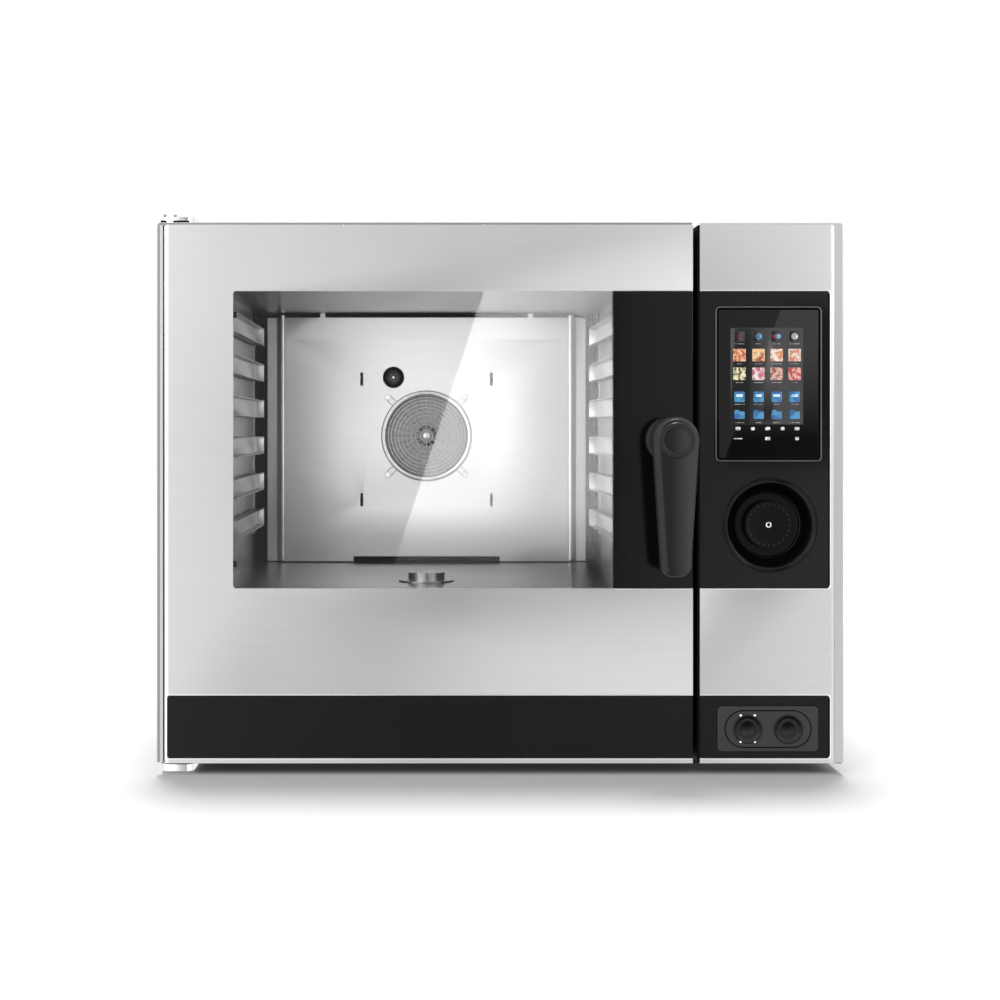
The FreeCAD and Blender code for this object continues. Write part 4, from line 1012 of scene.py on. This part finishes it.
def lever_ring(inset, depth, crown):
    """The lever's outline drawn inwards, most at the left side and at the tip."""
    lean = math.asin((HEAD_RADIUS - TIP_HALF) / (HANDLE_Z - TIP_Z))
    places = []
    head_steps, side_steps, tip_steps = 32, 14, 24
    power = 2.0 / 2.7
    for i in range(head_steps + 1):
        angle = -lean + (math.pi + 2 * lean) * i / head_steps
        places.append((HEAD_RADIUS * math.cos(angle), HANDLE_Z + HEAD_RADIUS * math.sin(angle),
                       math.cos(angle), math.sin(angle)))
    tip = []
    for i in range(tip_steps + 1):
        angle = math.pi + lean + (math.pi - 2 * lean) * i / tip_steps
        c, s = math.cos(angle), math.sin(angle)
        x = TIP_HALF * math.copysign(abs(c) ** power, c)
        z = TIP_Z + TIP_HALF * math.copysign(abs(s) ** power, s)
        tip.append((x, z, c, s))
    left_side = between(places[-1], tip[0], side_steps)
    right_side = between(tip[-1], places[0], side_steps)
    places += left_side + tip + right_side
    ring = []
    for x, z, nx, nz in places:
        pull = inset * (3.4 + 3.6 * max(0.0, -nx) ** 2 + 7.5 * max(0.0, -nz) ** 2)
        x -= nx * pull
        z -= nz * pull
        spine = min(max(z, TIP_Z), HANDLE_Z)
        ring.append((x, z, depth + face_drop(x, spine, crown), spine))
    return ring


def lever():
    shape = bmesh.new()
    rings = []
    for inset, depth, crown in LEVER_LEVELS:
        rings.append([at(HANDLE_X + x, LEVER_FRONT + d, z)
                      for x, z, d, _ in lever_ring(inset, depth, crown)])
    inner = lever_ring(1.0, 0.0, CROWN)
    for share in (0.75, 0.5, 0.25, 0.0):
        ring = []
        for x, z, d, spine in inner:
            px, pz = x * share, spine + (z - spine) * share
            drop = face_drop(px, spine, CROWN)
            ring.append(at(HANDLE_X + px, LEVER_FRONT + drop, pz))
        rings.append(ring)
    loft(shape, rings)
    bmesh.ops.remove_doubles(shape, verts=shape.verts, dist=1e-5)
    spin_into(shape, [(16.0, LEVER_FRONT + 21.5), (16.0, -12.0), (19.0, -9.6), (26.5, -9.2),
                      (28.4, -8.2), (29.0, -6.6), (29.0, -0.4), (9.0, -0.4)], HANDLE_X, HANDLE_Z, 64)
    made = piece("lever_shaped", "handle_lever", GRIP_PAINTED_LIGHT, shape, 28)
    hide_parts("handle_lever")
    profile = [(22.0, LEVER_FRONT + 5.0), (22.0, LEVER_FRONT - 0.4), (21.2, LEVER_FRONT - 1.3),
               (19.6, LEVER_FRONT - 1.5), (17.6, LEVER_FRONT - 1.4), (16.6, LEVER_FRONT - 0.8),
               (16.2, LEVER_FRONT + 0.6), (15.2, LEVER_FRONT + 1.0), (11.0, LEVER_FRONT + 1.5),
               (5.0, LEVER_FRONT + 1.8), (0.0, LEVER_FRONT + 1.9)]
    made = lathe("cap_dished", "handle_cap", GRIP_CAP, profile, HANDLE_X, HANDLE_Z, 72, 40)
    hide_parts("handle_cap")


# Inside the oven

DEFLECTOR_LOW, DEFLECTOR_HIGH = size_of("fan_deflector")
GRILLE_DEPTH = size_of("suction_grille")[0][1]
RAIL_LEVELS = 6
RAIL_FIRST = 293.0
RAIL_PITCH = 56.0
RAIL_HEIGHT = 27.0
POST_REACH = (264.05, 270.15)
POST_DEPTH = (431.6, 438.0)
CORNER_GAP_REACH = (250.0, 266.0)
CORNER_GAP_TOP = 266.0
SHADE_OVERLAP = 9.0
SHADE_HOLE = 12.0
WIRE_RADII = (60.5, 55.5, 50.0, 44.5, 38.5, 32.0, 25.0, 17.5, 9.5)
SPOKES = 24
SPOKE_END = 66.0
TAB_START, TAB_END = 68.0, 83.5
TAB_HALF = 4.4
FOOT_RADIUS = 20.0
FOOT_PROFILE = [(0.0, 0.0), (17.6, 0.0), (19.2, 0.7), (20.0, 2.2), (19.6, 5.5), (17.2, 7.4),
                (16.4, 9.0), (16.4, 15.0), (0.0, 15.0)]


def from_fan(radius, depth, angle):
    """A place round the fan's middle."""
    return at(FAN_X + radius * math.cos(angle), depth, FAN_Z + radius * math.sin(angle))


def grille():
    """Rings and spokes of wire, with four screw tabs."""
    shape = bmesh.new()
    front = GRILLE_DEPTH
    spin_into(shape, [(65.0, front + 1.6), (65.0, front + 0.4), (65.5, front), (71.0, front),
                      (71.6, front + 0.5), (71.6, front + 1.6), (65.0, front + 1.6)], FAN_X, FAN_Z)
    for radius in WIRE_RADII:
        hoop_into(shape, circle(FAN_X, FAN_Z, radius, 64)(0), front + 0.9, 0.85, 6)
    for number in range(SPOKES):
        angle = 2 * math.pi * number / SPOKES
        start = WIRE_RADII[8] if number % 2 == 0 else WIRE_RADII[6]
        wire_into(shape, from_fan(start, front + 2.2, angle), from_fan(SPOKE_END, front + 2.2, angle),
                  0.8, 6)
    spin_into(shape, [(5.5, front + 2.0), (5.5, front + 0.4), (4.5, front), (0.0, front - 0.2)],
              FAN_X, FAN_Z, 24)
    middle = Vector((FAN_X, FAN_Z))
    for number in range(4):
        turn = math.radians(45 + 90 * number)
        along = Vector((math.cos(turn), math.sin(turn)))
        across = Vector((-along.y, along.x))
        path = [middle + along * TAB_START - across * TAB_HALF]
        for step in range(9):
            angle = math.radians(-90 + 180 * step / 8)
            path.append(middle + along * (TAB_END + TAB_HALF * math.cos(angle))
                        + across * TAB_HALF * math.sin(angle))
        path.append(middle + along * TAB_START + across * TAB_HALF)
        hoop_into(shape, path, front + 0.8, 0.8, 6)
    made = piece("grille_wires", "suction_grille", WIRE, shape, 50)
    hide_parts("suction_grille")


def nozzle():
    x, _, z = middle_of("wash_nozzle")
    low, high = size_of("wash_nozzle")
    front = low[1]
    made = lathe("nozzle_ball", "wash_nozzle", NOZZLE,
                 [(10.8, high[1]), (10.8, front + 4.0), (10.3, front + 2.0), (8.6, front + 0.6),
                  (5.0, front), (2.8, front), (2.8, front + 1.0), (0.0, front + 1.0)], x, z, 40, 50)
    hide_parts("wash_nozzle")
    lathe("nozzle_tip", "wash_nozzle", CHROME_BRIGHT,
          [(2.7, front + 1.0), (2.7, front + 0.1), (1.8, front - 0.6), (0.0, front - 0.9)], x, z, 24, 60)
    lathe("nozzle_collar", "wash_nozzle", GAP_SHADE,
          [(10.8, front + 18.0), (19.5, front + 18.0), (19.5, front + 20.0), (10.8, front + 20.0)],
          x, z, 40)


def cavity():
    """The deflector with its rolled bends, the racks, and a near-black sheet as painted shade in the gap
    round the deflector.
    """
    low, high = DEFLECTOR_LOW, DEFLECTOR_HIGH
    deflector = softened("fan_deflector", 0.5, STEEL_DEFLECTOR)
    front = FRONT_Y + (low[1] + 0.5) * MM
    across = [vert.co.x for vert in deflector.data.vertices if vert.co.y < front]
    shape = bmesh.new()
    for x in (min(across) / MM, max(across) / MM):
        upright_line_into(shape, x, low[2], high[2], 3.0, low[1] + 3.6, 4.2, 16)
    piece("deflector_bends", "fan_deflector", STEEL_DEFLECTOR, shape, 60)
    softened("rack_left", 0.35, STEEL_RACK)
    softened("rack_right", 0.35, STEEL_RACK)
    softened("drain_cover", 0.35, STEEL_RACK)
    softened("screws", 0.7, CHROME, 3)
    softened("glass_clips", 0.6, RUBBER)
    ceiling = size_of("cavity_liner")[1][2] - 1.6
    # Painted shade: a near-black frame behind the deflector's edges, where the gap lies in shade.
    plate("deflector_gap_seal", "cavity_liner", GAP_SHADE,
          rounded(low[0] - SHADE_OVERLAP, high[0] + SHADE_OVERLAP, low[2] - 1.0, ceiling, 12.0),
          high[1] - 0.2, high[1] + 0.9, 0.3,
          [rounded(low[0] + SHADE_HOLE, high[0] - SHADE_HOLE, low[2] + 6.0, ceiling - 14.0, 12.0)])


def beside_deflector(side, reach):
    """The left and right end of a strip this far from the deflector's middle, on one side."""
    middle = (DEFLECTOR_LOW[0] + DEFLECTOR_HIGH[0]) / 2
    return sorted(middle + side * distance for distance in reach)


def rack_posts():
    """Painted shade: near-black plates where the posts behind the rails lie in shade, and near-black
    corners beside the deflector.
    """
    for node, side in (("rack_left", -1), ("rack_right", 1)):
        left, right = beside_deflector(side, POST_REACH)
        shape = bmesh.new()
        for level in range(RAIL_LEVELS):
            bottom = RAIL_FIRST + RAIL_PITCH * level + RAIL_HEIGHT
            # Painted shade between the rails, where the rear posts lie in shadow.
            plate_into(shape, rounded(left, right, bottom, bottom + RAIL_PITCH - RAIL_HEIGHT, 0.8, 3),
                       POST_DEPTH[0], POST_DEPTH[1], 0.6)
        piece(node + "_posts", node, GAP_SHADE, shape, 30)
        left, right = beside_deflector(side, CORNER_GAP_REACH)
        radii = (14.0, 0.6, 0.6, 0.6) if side < 0 else (0.6, 14.0, 0.6, 0.6)
        # Painted shade in the corners beside the deflector.
        plate("corner_gap_" + node, "cavity_liner", GAP_SHADE,
              rounded(left, right, DEFLECTOR_LOW[2] - 1.0, CORNER_GAP_TOP, radii),
              DEFLECTOR_HIGH[1] + 0.4, DEFLECTOR_HIGH[1] + 1.0, 0.2)


def feet():
    low, high = size_of("feet")
    shape = bmesh.new()
    for x in (low[0] + FOOT_RADIUS, high[0] - FOOT_RADIUS):
        for depth in (low[1] + FOOT_RADIUS, high[1] - FOOT_RADIUS):
            upright_into(shape, FOOT_PROFILE, x, depth)
    made = piece("feet_round", "feet", RUBBER, shape, 30)
    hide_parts("feet")


# Reflections in the window and the screen

CARD_DISTANCE = 1.5
WINDOW_CARD = 11.5
WINDOW_OUTLINE = ((-20.8, 625.0), (141.5, 625.0), (141.5, 232.0), (-150.6, 232.0))
WINDOW_FADE = (262.0, 345.0)
SCREEN_CARD = 2.6
SCREEN_OUTLINE = ((358.3, 598.0), (420.0, 598.0), (420.0, 400.0), (284.0, 400.0))
SCREEN_FADE = (430.0, 540.0)


def card(name, corners, strength, fade, panes):
    """A sheet of light seen only in the given panes, placed by the outline it draws on them."""
    eye = Vector((EYE_X, 0, EYE_Z))
    grow = (EYE_DISTANCE + CARD_DISTANCE) / EYE_DISTANCE
    places = []
    for x, z in corners:
        place = eye + (Vector((x * MM, 0, z * MM)) - eye) * grow
        places.append((place.x, FRONT_Y - CARD_DISTANCE, place.z))
    mesh = bpy.data.meshes.new(name)
    mesh.from_pydata(places, [], [tuple(range(len(places)))])
    made = bpy.data.objects.new(name, mesh)
    bpy.context.scene.collection.objects.link(made)
    shader = Shader(name + "_light")
    glow = shader.node("ShaderNodeEmission")
    low, high = [eye.z + (z * MM - eye.z) * grow for z in fade]
    height = shader.split("Object")["Z"]
    shader.link(shader.span(height, 0.0, strength, low, high), glow.inputs["Strength"])
    shader.link(glow.outputs["Emission"], shader.output.inputs["Surface"])
    mesh.materials.append(shader.material)
    made.visible_camera = False
    made.visible_diffuse = False
    made.visible_shadow = False
    seen_by = bpy.data.collections.new(name + "_panes")
    for pane in panes:
        seen_by.objects.link(pane)
    made.light_linking.receiver_collection = seen_by


def cards():
    display = [made for made in bpy.data.objects
               if made.get("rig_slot") == SLOT_OF["touch_screen"]]
    card("window_card", WINDOW_OUTLINE, WINDOW_CARD, WINDOW_FADE, [NODES["door_outer_glass"]])
    card("screen_card", SCREEN_OUTLINE, SCREEN_CARD, SCREEN_FADE, display)


# Studio

def towards_one(nodes, factor, value):
    """The value where the factor is 0, and 1 where the factor is 1."""
    node = nodes.node("ShaderNodeMix")
    nodes.link(factor, node.inputs["Factor"])
    nodes.link(value, node.inputs["A"])
    node.inputs["B"].default_value = 1.0
    return node.outputs["Result"]


def set_world():
    """White for the camera; for reflections a room, darker behind the camera, brighter at its left."""
    world = bpy.data.worlds.new("studio")
    bpy.context.scene.world = world
    world.use_nodes = True
    nodes = Nodes(world.node_tree)
    background = nodes.tree.nodes["Background"]
    toward = nodes.split("Generated")
    side = nodes.node("ShaderNodeMath", operation="ABSOLUTE")
    nodes.link(toward["X"], side.inputs[0])
    room = nodes.node("ShaderNodeMath", operation="ADD")
    nodes.link(nodes.span(side.outputs[0], 0.36, 1.34, 0.0, 0.34, "SMOOTHSTEP"), room.inputs[0])
    nodes.link(nodes.span(toward["X"], 0.0, 0.85, -0.14, -0.21), room.inputs[1])
    ahead = nodes.span(toward["Y"], 0.0, 1.0, -0.5, 0.3)
    strength = towards_one(nodes, ahead, room.outputs[0])
    path = nodes.node("ShaderNodeLightPath")
    strength = towards_one(nodes, path.outputs["Is Camera Ray"], strength)
    nodes.link(strength, background.inputs["Strength"])
    background.inputs["Color"].default_value = (1, 1, 1, 1)


def floor():
    mesh = bpy.data.meshes.new("floor")
    reach = 12.0
    mesh.from_pydata([(-reach, -reach, 0), (reach, -reach, 0), (reach, reach, 0), (-reach, reach, 0)],
                     [], [(0, 1, 2, 3)])
    made = bpy.data.objects.new("floor", mesh)
    bpy.context.scene.collection.objects.link(made)
    shader = Shader("floor_paper")
    shader.colour(shader.blend(shader.noise(2.0), (0.375, 0.375, 0.375), (0.39, 0.39, 0.39)))
    shader.set(Roughness=0.9, Specular_IOR_Level=0.0)
    mesh.materials.append(shader.material)
    made.visible_glossy = False


def lamp(name, place, aim, size, power):
    data = bpy.data.lights.new(name, "AREA")
    data.shape = "RECTANGLE"
    data.size, data.size_y = size
    data.energy = power
    made = bpy.data.objects.new(name, data)
    made.location = place
    made.rotation_euler = (Vector(aim) - Vector(place)).to_track_quat("-Z", "Y").to_euler()
    made.visible_camera = False
    bpy.context.scene.collection.objects.link(made)


def set_lamps():
    data = bpy.data.lights.new("overhead_sun", "SUN")
    data.energy = 6.0
    data.angle = math.radians(18)
    made = bpy.data.objects.new("overhead_sun", data)
    made.rotation_euler = (math.radians(-13.5), 0, 0)
    bpy.context.scene.collection.objects.link(made)
    low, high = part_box("cavity_liner")
    middle = (low + high) / 2
    lamp("key_left", (-2.4, FRONT_Y - 1.6, 1.6), (0, FRONT_Y, 0.35), (1.2, 1.8), 26)
    lamp("key_right", (2.4, FRONT_Y - 1.6, 1.5), (0, FRONT_Y, 0.35), (1.0, 1.6), 16)
    lamp("cavity_top", (middle.x, low.y + 0.04, high.z - 0.012),
         (middle.x, high.y - 0.05, middle.z - 0.05), (0.44, 0.02), 0.10)
    lamp("cavity_fill", (middle.x, low.y + 0.03, middle.z + 0.02), (middle.x, high.y, middle.z),
         (0.32, 0.22), 0.19)


casing()
edge_beads()
edge_shades()
panel_lips()
hinge_marks()
panels()
screen_frame()
display_tiles()
display_marks()
knob()
connector()
lever()
grille()
nozzle()
cavity()
rack_posts()
feet()
set_camera()
set_world()
floor()
set_lamps()
cards()
bpy.context.scene.view_settings.view_transform = "Standard"
